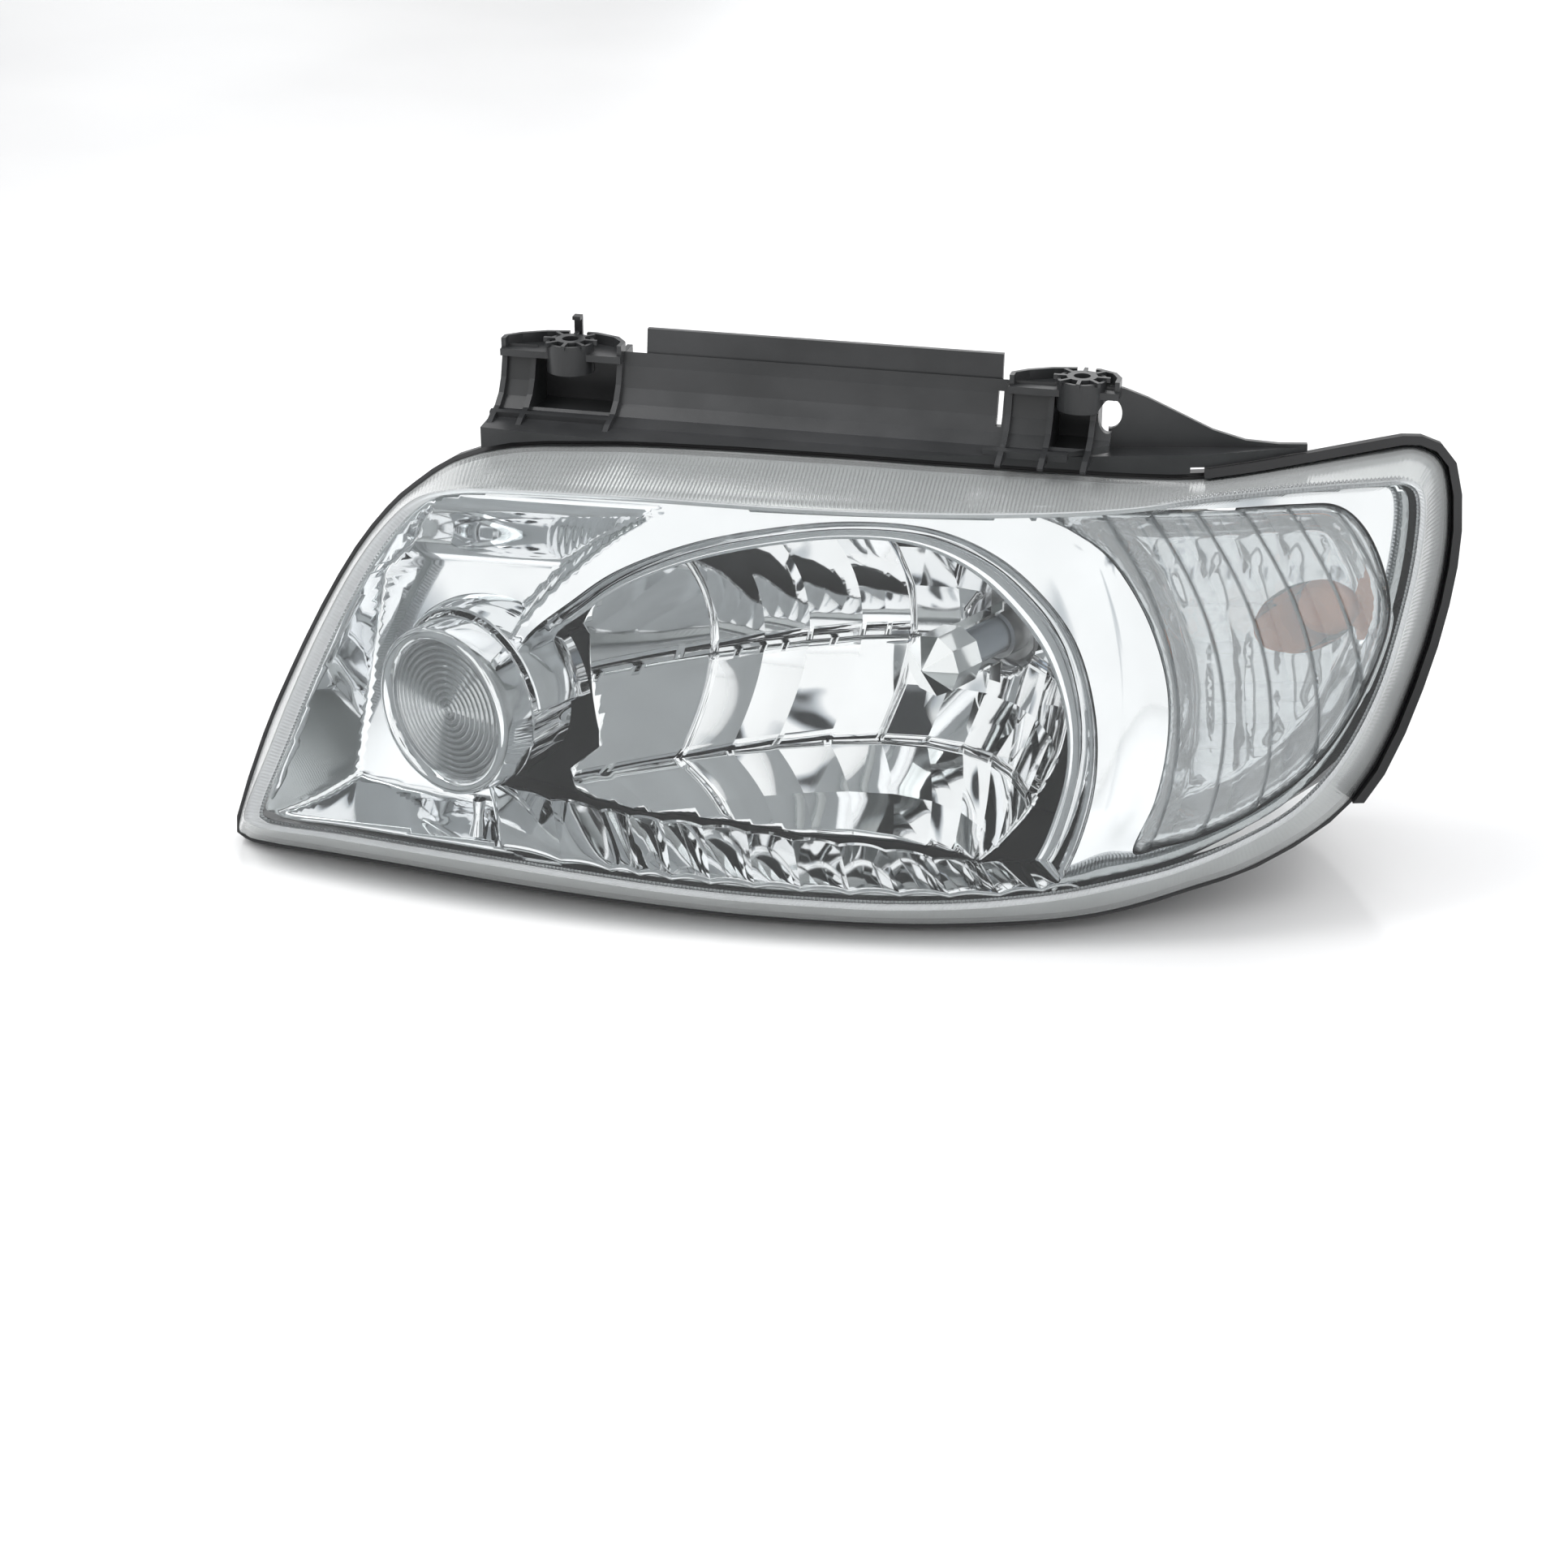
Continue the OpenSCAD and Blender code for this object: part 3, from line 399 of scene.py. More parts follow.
def metal(name, dark, light, rough, scale=60):
    """Bare metal with uneven colour and gloss."""
    mat, tree, shader = new_material(name)
    shader.inputs["Metallic"].default_value = 1.0
    colour = ramp(tree, noise(tree, scale, 6), 0.3, 0.7, dark, light)
    tree.links.new(colour, shader.inputs["Base Color"])
    tree.links.new(spread(tree, noise(tree, scale * 3, 5), *rough), shader.inputs["Roughness"])
    return mat


def chrome(name, tint=(0.93, 0.94, 0.95), rough=(0.03, 0.07), wave=0.00012, wave_scale=22):
    """Vapour-plated plastic: mirror bright, with a faint unevenness of the moulding."""
    mat, tree, shader = new_material(name)
    shader.inputs["Metallic"].default_value = 1.0
    darker = tuple(c * 0.95 for c in tint)
    tree.links.new(ramp(tree, noise(tree, 35, 4), 0.3, 0.7, darker, tint), shader.inputs["Base Color"])
    tree.links.new(spread(tree, noise(tree, 160, 5), *rough), shader.inputs["Roughness"])
    bump(tree, shader, noise(tree, wave_scale, 2), 0.5, wave)
    return mat


def see_through(name, tint, share, rough=(0.02, 0.05), metallic=0.0, base=(0.9, 0.92, 0.93)):
    """Clear plastic: lets light straight through, with a surface that reflects by angle.

    share is how much of the surface shows at a square view, on top of its edge gloss."""
    mat, tree, shader = new_material(name)
    out = tree.nodes["Material Output"]
    shader.inputs["Metallic"].default_value = metallic
    darker = tuple(c * 0.93 for c in base)
    tree.links.new(ramp(tree, noise(tree, 40, 3), 0.3, 0.7, darker, base), shader.inputs["Base Color"])
    tree.links.new(spread(tree, noise(tree, 90, 4), *rough), shader.inputs["Roughness"])
    clear = tree.nodes.new("ShaderNodeBsdfTransparent")
    clear.inputs["Color"].default_value = (*tint, 1)
    gloss = tree.nodes.new("ShaderNodeFresnel")
    gloss.inputs["IOR"].default_value = 1.45
    amount = tree.nodes.new("ShaderNodeMath")
    amount.operation = "ADD"
    amount.use_clamp = True
    amount.inputs[1].default_value = share
    mix = tree.nodes.new("ShaderNodeMixShader")
    tree.links.new(gloss.outputs["Fac"], amount.inputs[0])
    tree.links.new(amount.outputs["Value"], mix.inputs["Fac"])
    tree.links.new(clear.outputs["BSDF"], mix.inputs[1])
    tree.links.new(shader.outputs["BSDF"], mix.inputs[2])
    tree.links.new(mix.outputs["Shader"], out.inputs["Surface"])
    return mat


HOUSING = plastic("housing_black", (0.012, 0.012, 0.013), (0.03, 0.03, 0.032), (0.38, 0.55), 700, 0.00008)
BRACKET = plastic("bracket_black", (0.016, 0.017, 0.018), (0.04, 0.041, 0.043),
                  (0.24, 0.42), 500, 0.00006, 18)
BLACK = plastic("smooth_black", (0.01, 0.01, 0.011), (0.022, 0.022, 0.024), (0.3, 0.4), 1200, 0.00003)
HOLDER = plastic("holder_grey", (0.06, 0.065, 0.07), (0.1, 0.105, 0.11), (0.4, 0.5), 900, 0.00005)
NYLON = plastic("natural_nylon", (0.62, 0.6, 0.54), (0.76, 0.74, 0.68), (0.35, 0.5), 600, 0.00005)
RUBBER = plastic("seal_rubber", (0.006, 0.006, 0.007), (0.016, 0.016, 0.017), (0.55, 0.75), 400, 0.0001)
STEEL = metal("zinc_steel", (0.55, 0.56, 0.58), (0.75, 0.75, 0.74), (0.22, 0.42))
SPRING = metal("spring_steel", (0.42, 0.42, 0.44), (0.6, 0.6, 0.6), (0.15, 0.3))
BRASS = metal("brass_pins", (0.6, 0.42, 0.16), (0.78, 0.58, 0.28), (0.2, 0.35), scale=120)
CHROME = chrome("bezel_chrome")
MIRROR = chrome("reflector_chrome", (0.95, 0.955, 0.96), (0.02, 0.05), 0.00006, 30)
SHIELD = chrome("shield_chrome", (0.94, 0.95, 0.95), (0.05, 0.1), 0.00003)
LENS = see_through("lens_clear", (0.985, 0.99, 0.99), 0.0)
RIBBED = see_through("lens_ribbed", (0.9, 0.92, 0.93), 0.42, (0.08, 0.16), 0.35)
ROOF = see_through("lens_roof", (0.85, 0.87, 0.87), 0.3, (0.1, 0.2), 0.35, base=(0.78, 0.8, 0.8))
FLUTED = see_through("fluted_clear", (0.97, 0.98, 0.985), 0.18, (0.03, 0.07), 0.8)
RINGED = see_through("ringed_clear", (0.96, 0.97, 0.975), 0.5, (0.08, 0.14), 0.85)
GLASS = see_through("bulb_glass", (0.93, 0.96, 1.0), 0.05)
AMBER = see_through("amber_glass", (0.95, 0.4, 0.1), 0.75, (0.08, 0.15), 0.0, base=(0.95, 0.27, 0.05))


# ---------------------------------------------------------------- outer lens
RIB_SAMPLES = 4
RIM_COUNT = 2880


def rim_loops():
    """The lens's front edge and flange edge, matched, with even steps along the front edge."""
    per = 60
    edge, flange = spline(EDGE, per), spline(FLANGE, per) * 0.9985
    closed = np.vstack([edge, edge[:1]])
    run = np.concatenate([[0], np.cumsum(np.linalg.norm(np.diff(closed, axis=0), axis=1))])
    want = np.arange(RIM_COUNT) * run[-1] / RIM_COUNT
    where = np.interp(want, run, np.arange(len(run)))
    ring = np.arange(len(run))
    flange = np.vstack([flange, flange[:1]])
    pick = lambda a: np.stack([np.interp(where, ring, a[:, i]) for i in range(2)], 1)
    return pick(closed), pick(flange)


def ribs(shift):
    """Height of the fine ribs round the rim, from 0 to 1, slanted by shift samples."""
    k = (np.arange(RIM_COUNT) + shift) % RIB_SAMPLES
    return np.abs(k - RIB_SAMPLES / 2) / (RIB_SAMPLES / 2)


def border(edge, t):
    """The front edge moved in towards the clear window, for t from 0 to 1."""
    sides = np.where(edge[:, 0] < 0, 1 - 0.030 * t, 1 - 0.011 * t)
    down = np.where(edge[:, 1] < 0, 1 - 0.036 * t, 1 - 0.008 * t)
    return edge * np.stack([sides, down], 1)


def outer_lens():
    edge, flange = rim_loops()
    top = smooth_step(edge[:, 1], 60, 80) * smooth_step(-edge[:, 0], -150, -120)
    skin = Skin()
    base, crown = face(flange, flange_w(flange)), behind_lens(edge, 0.6)
    side = crown - base
    out = np.cross(np.roll(base, -1, 0) - np.roll(base, 1, 0), side)
    out /= np.linalg.norm(out, axis=1)[:, None]
    rows = []
    steps = 16
    for k in range(steps + 1):
        t = k / steps
        height = 0.45 * ribs(k * 0.5) * (0.35 + 0.65 * top) * (0.12 < t < 0.9)
        rows.append(base + side * t + out * height[:, None])
    skin.grid(rows, cell=1, slot=2, wrap=True)
    rows = [rows[-1], behind_lens(border(edge, 0.06), 0.05)]
    skin.grid(rows, cell=2, slot=0, wrap=True)
    rows = [rows[-1]]
    steps = 8
    for k in range(steps + 1):
        t = 0.1 + 0.9 * k / steps
        height = 0.5 * ribs(k * 0.8) * (1 - top) * (0 < k < steps)
        rows.append(behind_lens(border(edge, t), height))
    skin.grid(rows, cell=3, slot=1, wrap=True)
    thin = border(edge, 1.0)
    rows = [rows[-1]]
    for s in (0.985, 0.93, 0.84, 0.72, 0.58, 0.42, 0.26, 0.1):
        rows.append(behind_lens(thin * s, 0.0))
    skin.grid(rows, cell=4, slot=0, wrap=True)
    middle = np.vstack([rows[-1], behind_lens(np.zeros((1, 2)), 0.0)])
    skin.add(middle, [(i, (i + 1) % RIM_COUNT, RIM_COUNT) for i in range(RIM_COUNT)], 4, 0)
    lens = skin.build("clear_lens", [LENS, RIBBED, ROOF], thickness=2.2, outward=AXIS_W)
    return finish_piece(lens, "housing", "clear_lens", "outer_lens")


# ---------------------------------------------------------------- bezel
POCKET_DEEP = [(-70, -223.5), (-53.5, -223), (-14, -216.5), (41, -209), (60, -190), (80, -176)]
POCKET_EDGE = [(-70, -262), (-64, -259), (-10, -238), (23, -221), (41, -211), (60, -198), (80, -178)]
FLOOR_DEEP = [(-270, -60), (-223, -53.5), (-160, -61), (-120, -68)]
FLOOR_EDGE = [(-270, -72), (-220, -73), (-160, -76), (-100, -79)]


def along(table, x):
    return np.interp(x, [p[0] for p in table], [p[1] for p in table])


ARCH_CREST = [(-146, 18), (-141.5, 26), (-127, 42), (-113, 55.5), (-99.5, 66), (-84, 75), (-60, 81)]


def arch_crest():
    """The arch's outer line, which stands proud of the pocket beside the position lamp."""
    return open_line(ARCH_CREST, 60)


def bezel_depth(uv):
    """Depth of the bezel: flat, but for the position lamp's pocket and a proud pillar."""
    u, v = uv[:, 0], uv[:, 1]
    left = (u - along(POCKET_EDGE, v)) / np.maximum(along(POCKET_DEEP, v) - along(POCKET_EDGE, v), 2)
    low = (v - along(FLOOR_EDGE, u)) / (along(FLOOR_DEEP, u) - along(FLOOR_EDGE, u))
    high = smooth_step(81 - v, 0, 34)
    crest = distance_to(arch_crest(), uv)
    beside = np.clip((crest - 0.8) / 3.0, 0, 1)
    pocket = np.clip(np.minimum.reduce([np.clip(left, 0, 1), np.clip(low, 0, 1), high, beside]), 0, 1)
    outer = left_of_crest(uv)
    pocket = pocket * outer
    pillar = np.exp(-((u - 117 + v ** 2 * 0.0035) / 13) ** 2)
    pillar *= smooth_step(v, -70, -40) * (1 - smooth_step(v, 62, 84))
    return BEZEL_DEPTH + 1.0 + 25 * pocket - 3.2 * pillar


def left_of_crest(uv):
    """1 on the position lamp's side of the arch's crest, and 0 on the other."""
    line = arch_crest()
    u_at = np.interp(uv[:, 1], line[:, 1], line[:, 0])
    side = np.where(uv[:, 1] > 18, uv[:, 0] < u_at, uv[:, 0] < -141)
    return np.where(uv[:, 1] > 81, 0.0, side.astype(float))


ARCH_BACK = 42.5
BARREL_HOLE = 38.2


def arch_wall():
    """The band that rolls from the arch's front edge back to the main reflector's opening."""
    front = spline(ARCH, 16)
    back = front.copy()
    right = smooth_step(front[:, 0], -60, 100)
    high = smooth_step(front[:, 1], -60, 40)
    back[:, 0] -= 12 * right + 1
    back[:, 1] -= 11.5 * high
    rows = []
    for k in range(15):
        t = k / 14
        roll = 1 - math.cos(t * math.pi / 2)
        uv = front * (1 - roll) + back * roll
        start = bezel_depth(front)
        deep = np.maximum(ARCH_BACK - start, 1.5)
        rows.append(behind_lens(uv, start + deep * math.sin(t * math.pi / 2) ** 1.15))
    return np.array(rows), front


def bezel():
    skin = Skin()
    rows, front = arch_wall()
    top = front[:, 1] > -77
    edge = spline(EDGE, 8) * np.array([0.974, 1.0])
    edge[:, 1] *= np.where(edge[:, 1] < 0, 0.966, 0.972)
    hole = circle_on(POSITION_AXIS, BARREL_HOLE, bezel_depth, -60.0, 72)
    creases = [np.array([(along(POCKET_DEEP, v), v) for v in np.linspace(-50, 55, 40)])]
    fit_sheet(skin, edge, [front, spline(TURN, 10), hole], bezel_depth, 2.2, lines=creases, cell=1)
    first = int(np.argmax(~top))
    order = np.concatenate([np.arange(first, len(top)), np.arange(0, first)])
    order = order[top[order]]
    skin.grid(rows[:, order], cell=2)
    turn = spline(TURN, 10)
    rim = bezel_depth(turn)
    skin.grid([behind_lens(turn, rim), behind_lens(turn, rim + 2.5)], cell=3, wrap=True)
    piece = skin.build("chrome_bezel", [CHROME], thickness=1.4, outward=AXIS_W)
    return finish_piece(piece, "housing", "chromed_plastic", "bezel")


SHELF_COLUMNS = [-150, -122, -100, -88, -74, -57, -38, -18, 3, 24, 45, 66, 84, 100]


SHELF_LIP = [(-160, -71), (-120, -76.5), (-70, -79.5), (0, -81), (60, -80), (95, -75)]
SHELF_BACK = [
    (-160, -48), (-124, -54.5), (-91, -63), (-56, -68), (-20, -72.5), (8, -73), (46, -74), (95, -70.5),
]
SHELF_REACH = [(-160, 35), (-124, 38), (-91, 53), (-56, 66), (-20, 71), (8, 66), (46, 50), (95, 38)]
SHELF_FRONT = 13.5


def bezel_shelf():
    """The fluted floor under the main reflector."""
    skin = Skin()
    for k, (a, b) in enumerate(zip(SHELF_COLUMNS[:-1], SHELF_COLUMNS[1:])):
        rows = []
        s = np.linspace(-1, 1, 13)
        for t in np.linspace(0, 1, 16):
            u = np.linspace(a, b, 13) - 10 * t
            depth = SHELF_FRONT + t * (along(SHELF_REACH, u) - SHELF_FRONT)
            lip = along(SHELF_LIP, u)
            v = lip + (along(SHELF_BACK, u) - lip) * t ** 0.85 + 1.5 * (1 - s ** 2) - 0.8
            rows.append(behind_lens(np.stack([u, v], 1), depth))
        skin.grid(rows, cell=k)
    piece = skin.build("bezel_shelf", [CHROME], thickness=1.0, outward=AXIS_V)
    return finish_piece(piece, "housing", "chromed_plastic")


# ---------------------------------------------------------------- main reflector
def dish_y(x, z):
    return LAMP_VERTEX_Y - ((x - LAMP_AXIS[0]) ** 2 + (z - LAMP_AXIS[1]) ** 2) / (4 * FOCAL)


COLUMNS = [-141, -125, -109, -97.5, -86, -71, -54, -36, -19, -2, 15, 32, 50, 68, 88]
ROW_TOP, ROW_MIDDLE, ROW_LOW, ROW_FLOOR = 160.0, 84.0, 41.0, 4.0


STEP_LINE = [(-150, 47), (-130, 35.5), (-109, 22.7), (-85, 14.9), (-56, 8), (-29, 7), (13, 12), (90, 22)]


def reflector_room(x, z):
    """How far a place on the dish is inside its trimmed outline; below 0 it is outside."""
    pts = np.stack([x, dish_y(x, z), z], -1)
    rel = pts - FACE
    uv = np.stack([rel @ AXIS_U, rel @ AXIS_V], -1)
    depth = lens_w(uv, 0.0) - rel @ AXIS_W
    above = np.minimum(z - along(STEP_LINE, x), uv[..., 1] + 74)
    ring = np.hypot(x - POSITION_AXIS[0], z - POSITION_AXIS[1]) - 47
    return np.minimum.reduce([depth - 50, above, np.maximum(ring, pts[..., 1] + 8)])


def facet(skin, corners, swell, cell, count):
    """A bulging facet between four corners in X and Z, on the reflector's dish."""
    a, b, c, d = (np.array(p, float) for p in corners)
    s, t = np.meshgrid(np.linspace(0, 1, count + 1), np.linspace(0, 1, count + 1))
    s, t = s[..., None], t[..., None]
    xz = (a * (1 - s) + b * s) * (1 - t) + (d * (1 - s) + c * s) * t
    x, z = xz[..., 0], xz[..., 1]
    s, t = s[..., 0] * 2 - 1, t[..., 0] * 2 - 1
    rise = swell[0] * (1 - s ** 2) + swell[1] * (1 - t ** 2)
    ok = reflector_room(x, z) > 0
    for _ in range(8):
        room = reflector_room(x, z)
        dx = (reflector_room(x + 0.1, z) - room) / 0.1
        dz = (reflector_room(x, z + 0.1) - room) / 0.1
        move = np.where(room < 0, -room, 0) / np.maximum(dx ** 2 + dz ** 2, 0.05)
        x, z = x + np.clip(move * dx, -2, 2), z + np.clip(move * dz, -2, 2)
    pts = np.stack([x, dish_y(x, z) - rise, z], -1)
    faces = []
    n = count + 1
    for i in range(count):
        for j in range(count):
            if ok[i, j] or ok[i, j + 1] or ok[i + 1, j + 1] or ok[i + 1, j]:
                faces.append((i * n + j, i * n + j + 1, (i + 1) * n + j + 1, (i + 1) * n + j))
    if faces:
        skin.add(pts, faces, cell)


def main_reflector():
    skin = Skin()
    cell = 0
    for a, b in zip(COLUMNS[:-1], COLUMNS[1:]):
        plain = b <= -109
        near = a >= -54
        # Above the middle: tall facets, shorter ones close to the bulb.
        cuts = [ROW_MIDDLE, 108, 130, ROW_TOP] if near else [ROW_MIDDLE, ROW_TOP]
        for z0, z1 in zip(cuts[:-1], cuts[1:]):
            cell += 1
            swell = (0.0, 0.0) if plain else (0.9 if not near else 0.8, 0.9 if near else 0.4)
            facet(skin, [(a, z0), (b, z0), (b, z1), (a, z1)], swell, cell, 12)
        # Middle row.
        cuts = [ROW_LOW, 62, ROW_MIDDLE] if near else [ROW_LOW, ROW_MIDDLE]
        for z0, z1 in zip(cuts[:-1], cuts[1:]):
            cell += 1
            swell = (0.0, 0.0) if plain else (0.9, 0.9 if near else 0.5)
            facet(skin, [(a, z0), (b, z0), (b, z1), (a, z1)], swell, cell, 10)
        # Lower row, whose columns lean outboard as they go down.
        lean = 23.0 * (ROW_LOW - ROW_FLOOR) / 25.0
        cuts = [0.0, 0.5, 1.0] if not plain else [0.0, 1.0]
        for t0, t1 in zip(cuts[:-1], cuts[1:]):
            cell += 1
            z1, z0 = ROW_LOW + (ROW_FLOOR - ROW_LOW) * t0, ROW_LOW + (ROW_FLOOR - ROW_LOW) * t1
            low, high = lean * t1, lean * t0
            facet(skin, [(a + low, z0), (b + low, z0), (b + high, z1), (a + high, z1)], (0.7, 0.35), cell, 8)
    # Left of the slanted columns, the lower row is plain dish.
    cell += 1
    facet(skin, [(-150, ROW_FLOOR), (COLUMNS[0] + 30, ROW_FLOOR), (COLUMNS[0], ROW_LOW), (-150, ROW_LOW)],
          (0.3, 0.2), cell, 12)
    piece = skin.build("main_reflector_chrome", [MIRROR], thickness=1.6, outward=(0, -1, 0))
    bulb_hole(piece)
    return finish_piece(piece, "reflector", "reflector_chrome", "main_reflector")


def bulb_hole(piece):
    """Opens the dish round the bulb."""
    bm = bmesh.new()
    bm.from_mesh(piece.data)
    centre = (np.array([LAMP_AXIS[0], 0, LAMP_AXIS[1]]) + ORIGIN) / 1000
    near = [f for f in bm.faces if math.hypot(f.calc_center_median().x - centre[0],
                                             f.calc_center_median().z - centre[2]) < 0.0185]
    bmesh.ops.delete(bm, geom=near, context="FACES")
    bm.to_mesh(piece.data)
    bm.free()


def reflector_collar():
    """The round neck that holds the bulb."""
    skin = Skin()
    skin.turned(LAMP_AXIS, [(22, 129.5), (20, 130.5), (18.5, 132), (18, 136), (15, 137)], 64, split=(2,))
    piece = skin.build("reflector_collar", [MIRROR], thickness=0.8, outward=(0, -1, 0))
    return finish_piece(piece, "reflector", "reflector_chrome")


# ---------------------------------------------------------------- position lamp
def position_ring():
    skin = Skin()
    y = POSITION_Y
    skin.turned(POSITION_AXIS, [
        (31.8, y + 7), (32.0, y + 3.2), (32.8, y + 2.0), (33.2, y + 1.4), (34.0, y + 0.4), (35.0, y),
        (36.0, y + 0.3), (36.8, y + 1.2), (37.1, y + 2.4), (37.4, y + 6), (37.9, y + 12), (38.2, y + 15.5),
        (37.6, y + 16.4), (35.4, y + 16.6)], 128, split=(3, 11))
    piece = skin.build("position_ring_chrome", [CHROME], thickness=0.8)
    return finish_piece(piece, "housing", "chromed_plastic", "position_trim_ring")


def position_barrel():
    """The fluted barrel behind the ring."""
    skin = Skin()
    y = POSITION_Y
    flutes = 22

    def radius(r, yy, angles):
        wave = np.abs(np.sin(angles * flutes / 2)) ** 0.7
        return r - 2.2 * wave * float(y + 18 < yy < y + 41)

    profile = [(35.2, y + 16.7), (38.0, y + 17.4), (38.0, y + 19), (37.6, y + 24), (37.1, y + 30),
               (36.5, y + 36), (36.2, y + 40), (36.0, y + 42.5), (33.8, y + 43)]
    skin.turned(POSITION_AXIS, profile, flutes * 10, radius=radius, split=(2, 7))
    piece = skin.build("position_barrel_chrome", [CHROME], thickness=0.7)
    return finish_piece(piece, "housing", "chromed_plastic", "position_barrel")


def position_hood():
    """The collar that stands out of the pocket over the position lamp."""
    skin = Skin()
    y = POSITION_Y
    profile = [(40.2, y + 19), (41.2, y + 17.6), (42.4, y + 18.2), (43.6, y + 22), (44.6, y + 28),
               (45.2, y + 36), (45.6, y + 46)]
    skin.turned(POSITION_AXIS, profile, 96, arc=(8, 176), split=(2,))
    piece = skin.build("position_hood", [CHROME], thickness=1.2, outward=(0, -1, 0))
    return finish_piece(piece, "housing", "chromed_plastic")


def position_dish():
    skin = Skin()
    y = POSITION_Y
    skin.turned(POSITION_AXIS, [(33.2, y + 16.5), (31.5, y + 22), (29, y + 29), (25, y + 37), (20, y + 44),
                                (14, y + 49.5), (11, y + 51.5)], 96)
    piece = skin.build("position_dish", [MIRROR], thickness=0.8, outward=(0, -1, 0))
    return finish_piece(piece, "housing", "reflector_chrome", "position_reflector")


def position_lens():
    """The round lens: ring prisms, each one a saw tooth, dished a little."""
    skin = Skin()
    y = POSITION_Y
    profile = [(0.3, y + 3.0), (1.6, y + 3.4)]
    r = 2.2
    while r < 30.5:
        dome = 1.6 * (r / 32) ** 2
        tooth = [(0, 4.9), (0.35, 3.2), (1.4, 3.5), (2.2, 4.3)]
        profile += [(r + out, y + height + dome) for out, height in tooth]
        r += 2.75
    profile += [(31.6, y + 6.4), (33.4, y + 6.6)]
    skin.turned(POSITION_AXIS, profile, 112, split=tuple(range(2, len(profile) - 2, 2)))
    piece = skin.build("position_ring_lens", [RINGED], thickness=0.9, outward=(0, -1, 0))
    return finish_piece(piece, "housing", "position_lens_clear", "position_lens")


def position_stem():
    """The small post that runs from the ring down to the bezel's floor."""
    skin = Skin()
    top = np.array([-152.0, -62.0, 38.5])
    foot = np.array([-150.0, -66.0, 24.0])
    angles = np.linspace(0, 2 * math.pi, 24, endpoint=False)
    rows = []
    for t in np.linspace(0, 1, 8):
        centre = top * (1 - t) + foot * t
        r = 2.4 + 0.5 * math.cos(t * math.pi * 2) + 0.8 * t
        rows.append([centre + (r * math.cos(a), r * math.sin(a), 0) for a in angles])
    skin.grid(rows, wrap=True)
    skin.add(np.array(rows[0]), [tuple(range(24))], 1)
    skin.add(np.array(rows[-1]), [tuple(range(23, -1, -1))], 1)
    piece = skin.build("position_stem", [CHROME])
    return finish_piece(piece, "housing", "chromed_plastic")


# ---------------------------------------------------------------- turn signal
TURN_STEP = 19.6
TURN_MIDDLE = np.array([160, 15])
RISER = 0.93
TURN_HOLE = 15.0


def flute_start(v):
    """Where the first flute starts: a bowed line beside the pillar."""
    return 84.4 + 34.5 * (1 - ((v + 10) / 92) ** 2)


def turn_inner(share, per):
    """The turn signal's outline, shrunk about its middle."""
    return TURN_MIDDLE + (spline(TURN, per) - TURN_MIDDLE) * share


def turn_band(uv):
    """How many flutes a point is from the turn lens's inboard side."""
    return (uv[:, 0] - flute_start(uv[:, 1])) / TURN_STEP


def turn_lens_depth(uv):
    """Depth of the turn lens: each flute swells and slopes, then steps back at its riser."""
    s = turn_band(uv)
    f = s - np.floor(s)
    swell = 1.3 * (1 - (2 * f - 1) ** 2)
    slope = 2.6 * f
    drop = smooth_step(f, RISER, 1.0) * 2.6
    return 17.6 - swell - slope + drop


def rib_lines():
    """The creases on each side of the risers."""
    lines = []
    for k in range(-1, 8):
        for f in (0.0, RISER):
            v = np.linspace(-62, 90, 90)
            lines.append(np.stack([flute_start(v) + (k + f) * TURN_STEP, v], 1))
    return lines


def turn_lens():
    outline = turn_inner(0.985, 10)
    lines = []
    for line in rib_lines():
        ok = inside(outline, line)
        ok &= distance_to(np.vstack([outline, outline[:1]]), line) > 0.8
        run = line[ok]
        if len(run) > 3:
            lines.append(run)
    skin = Skin()

    def cells(centre):
        s = turn_band(centre)
        f = s - np.floor(s)
        return (np.floor(s) * 2 + (f > RISER)).astype(int) + 10

    fit_sheet(skin, outline, [], turn_lens_depth, 2.0, lines=lines, cell=cells)
    piece = skin.build("turn_fluted_lens", [FLUTED], thickness=1.2, outward=AXIS_W)
    return finish_piece(piece, "housing", "fluted_lens", "turn_lens")


def turn_reflector_depth(uv):
    """Depth of the turn signal's reflector: a rippled bowl with steep sides."""
    outline = turn_inner(0.96, 8)
    wall = distance_to(np.vstack([outline, outline[:1]]), uv)
    bowl = 20 + 19 * smooth_step(wall, 0, 12)
    u, v = uv[:, 0], uv[:, 1]
    ripple = 0.9 * np.abs(np.sin(u * 0.19 + 0.3 * np.sin(v * 0.05))) + 0.7 * np.abs(np.sin(v * 0.16))
    return bowl - ripple * smooth_step(wall, 4, 12)


def turn_reflector():
    outline = turn_inner(0.96, 10)
    hole = circle_on(TURN_AXIS, TURN_HOLE, turn_reflector_depth, 120.0, 60)
    skin = Skin()
    fit_sheet(skin, outline, [hole], turn_reflector_depth, 2.6, cell=1)
    rim = behind_lens(hole, turn_reflector_depth(hole))
    rows = [rim]
    a = np.linspace(0, 2 * math.pi, 60, endpoint=False)
    facets = 1 - 0.03 * np.abs(np.sin(a * 6))
    for r, y in [(15.2, 160), (15.2, 176), (15, 186), (14.8, 196), (14.5, 202)]:
        x, z = TURN_AXIS[0] + r * facets * np.cos(a), TURN_AXIS[1] + r * facets * np.sin(a)
        ring = np.stack([x, np.full(60, float(y)), z], 1)
        ring[:, 1] = np.maximum(ring[:, 1], rim[:, 1] + 1)
        rows.append(ring)
    skin.grid(rows, cell=2, wrap=True)
    piece = skin.build("turn_reflector_chrome", [MIRROR], thickness=1.0, outward=AXIS_W)
    return finish_piece(piece, "housing", "reflector_chrome", "turn_reflector")


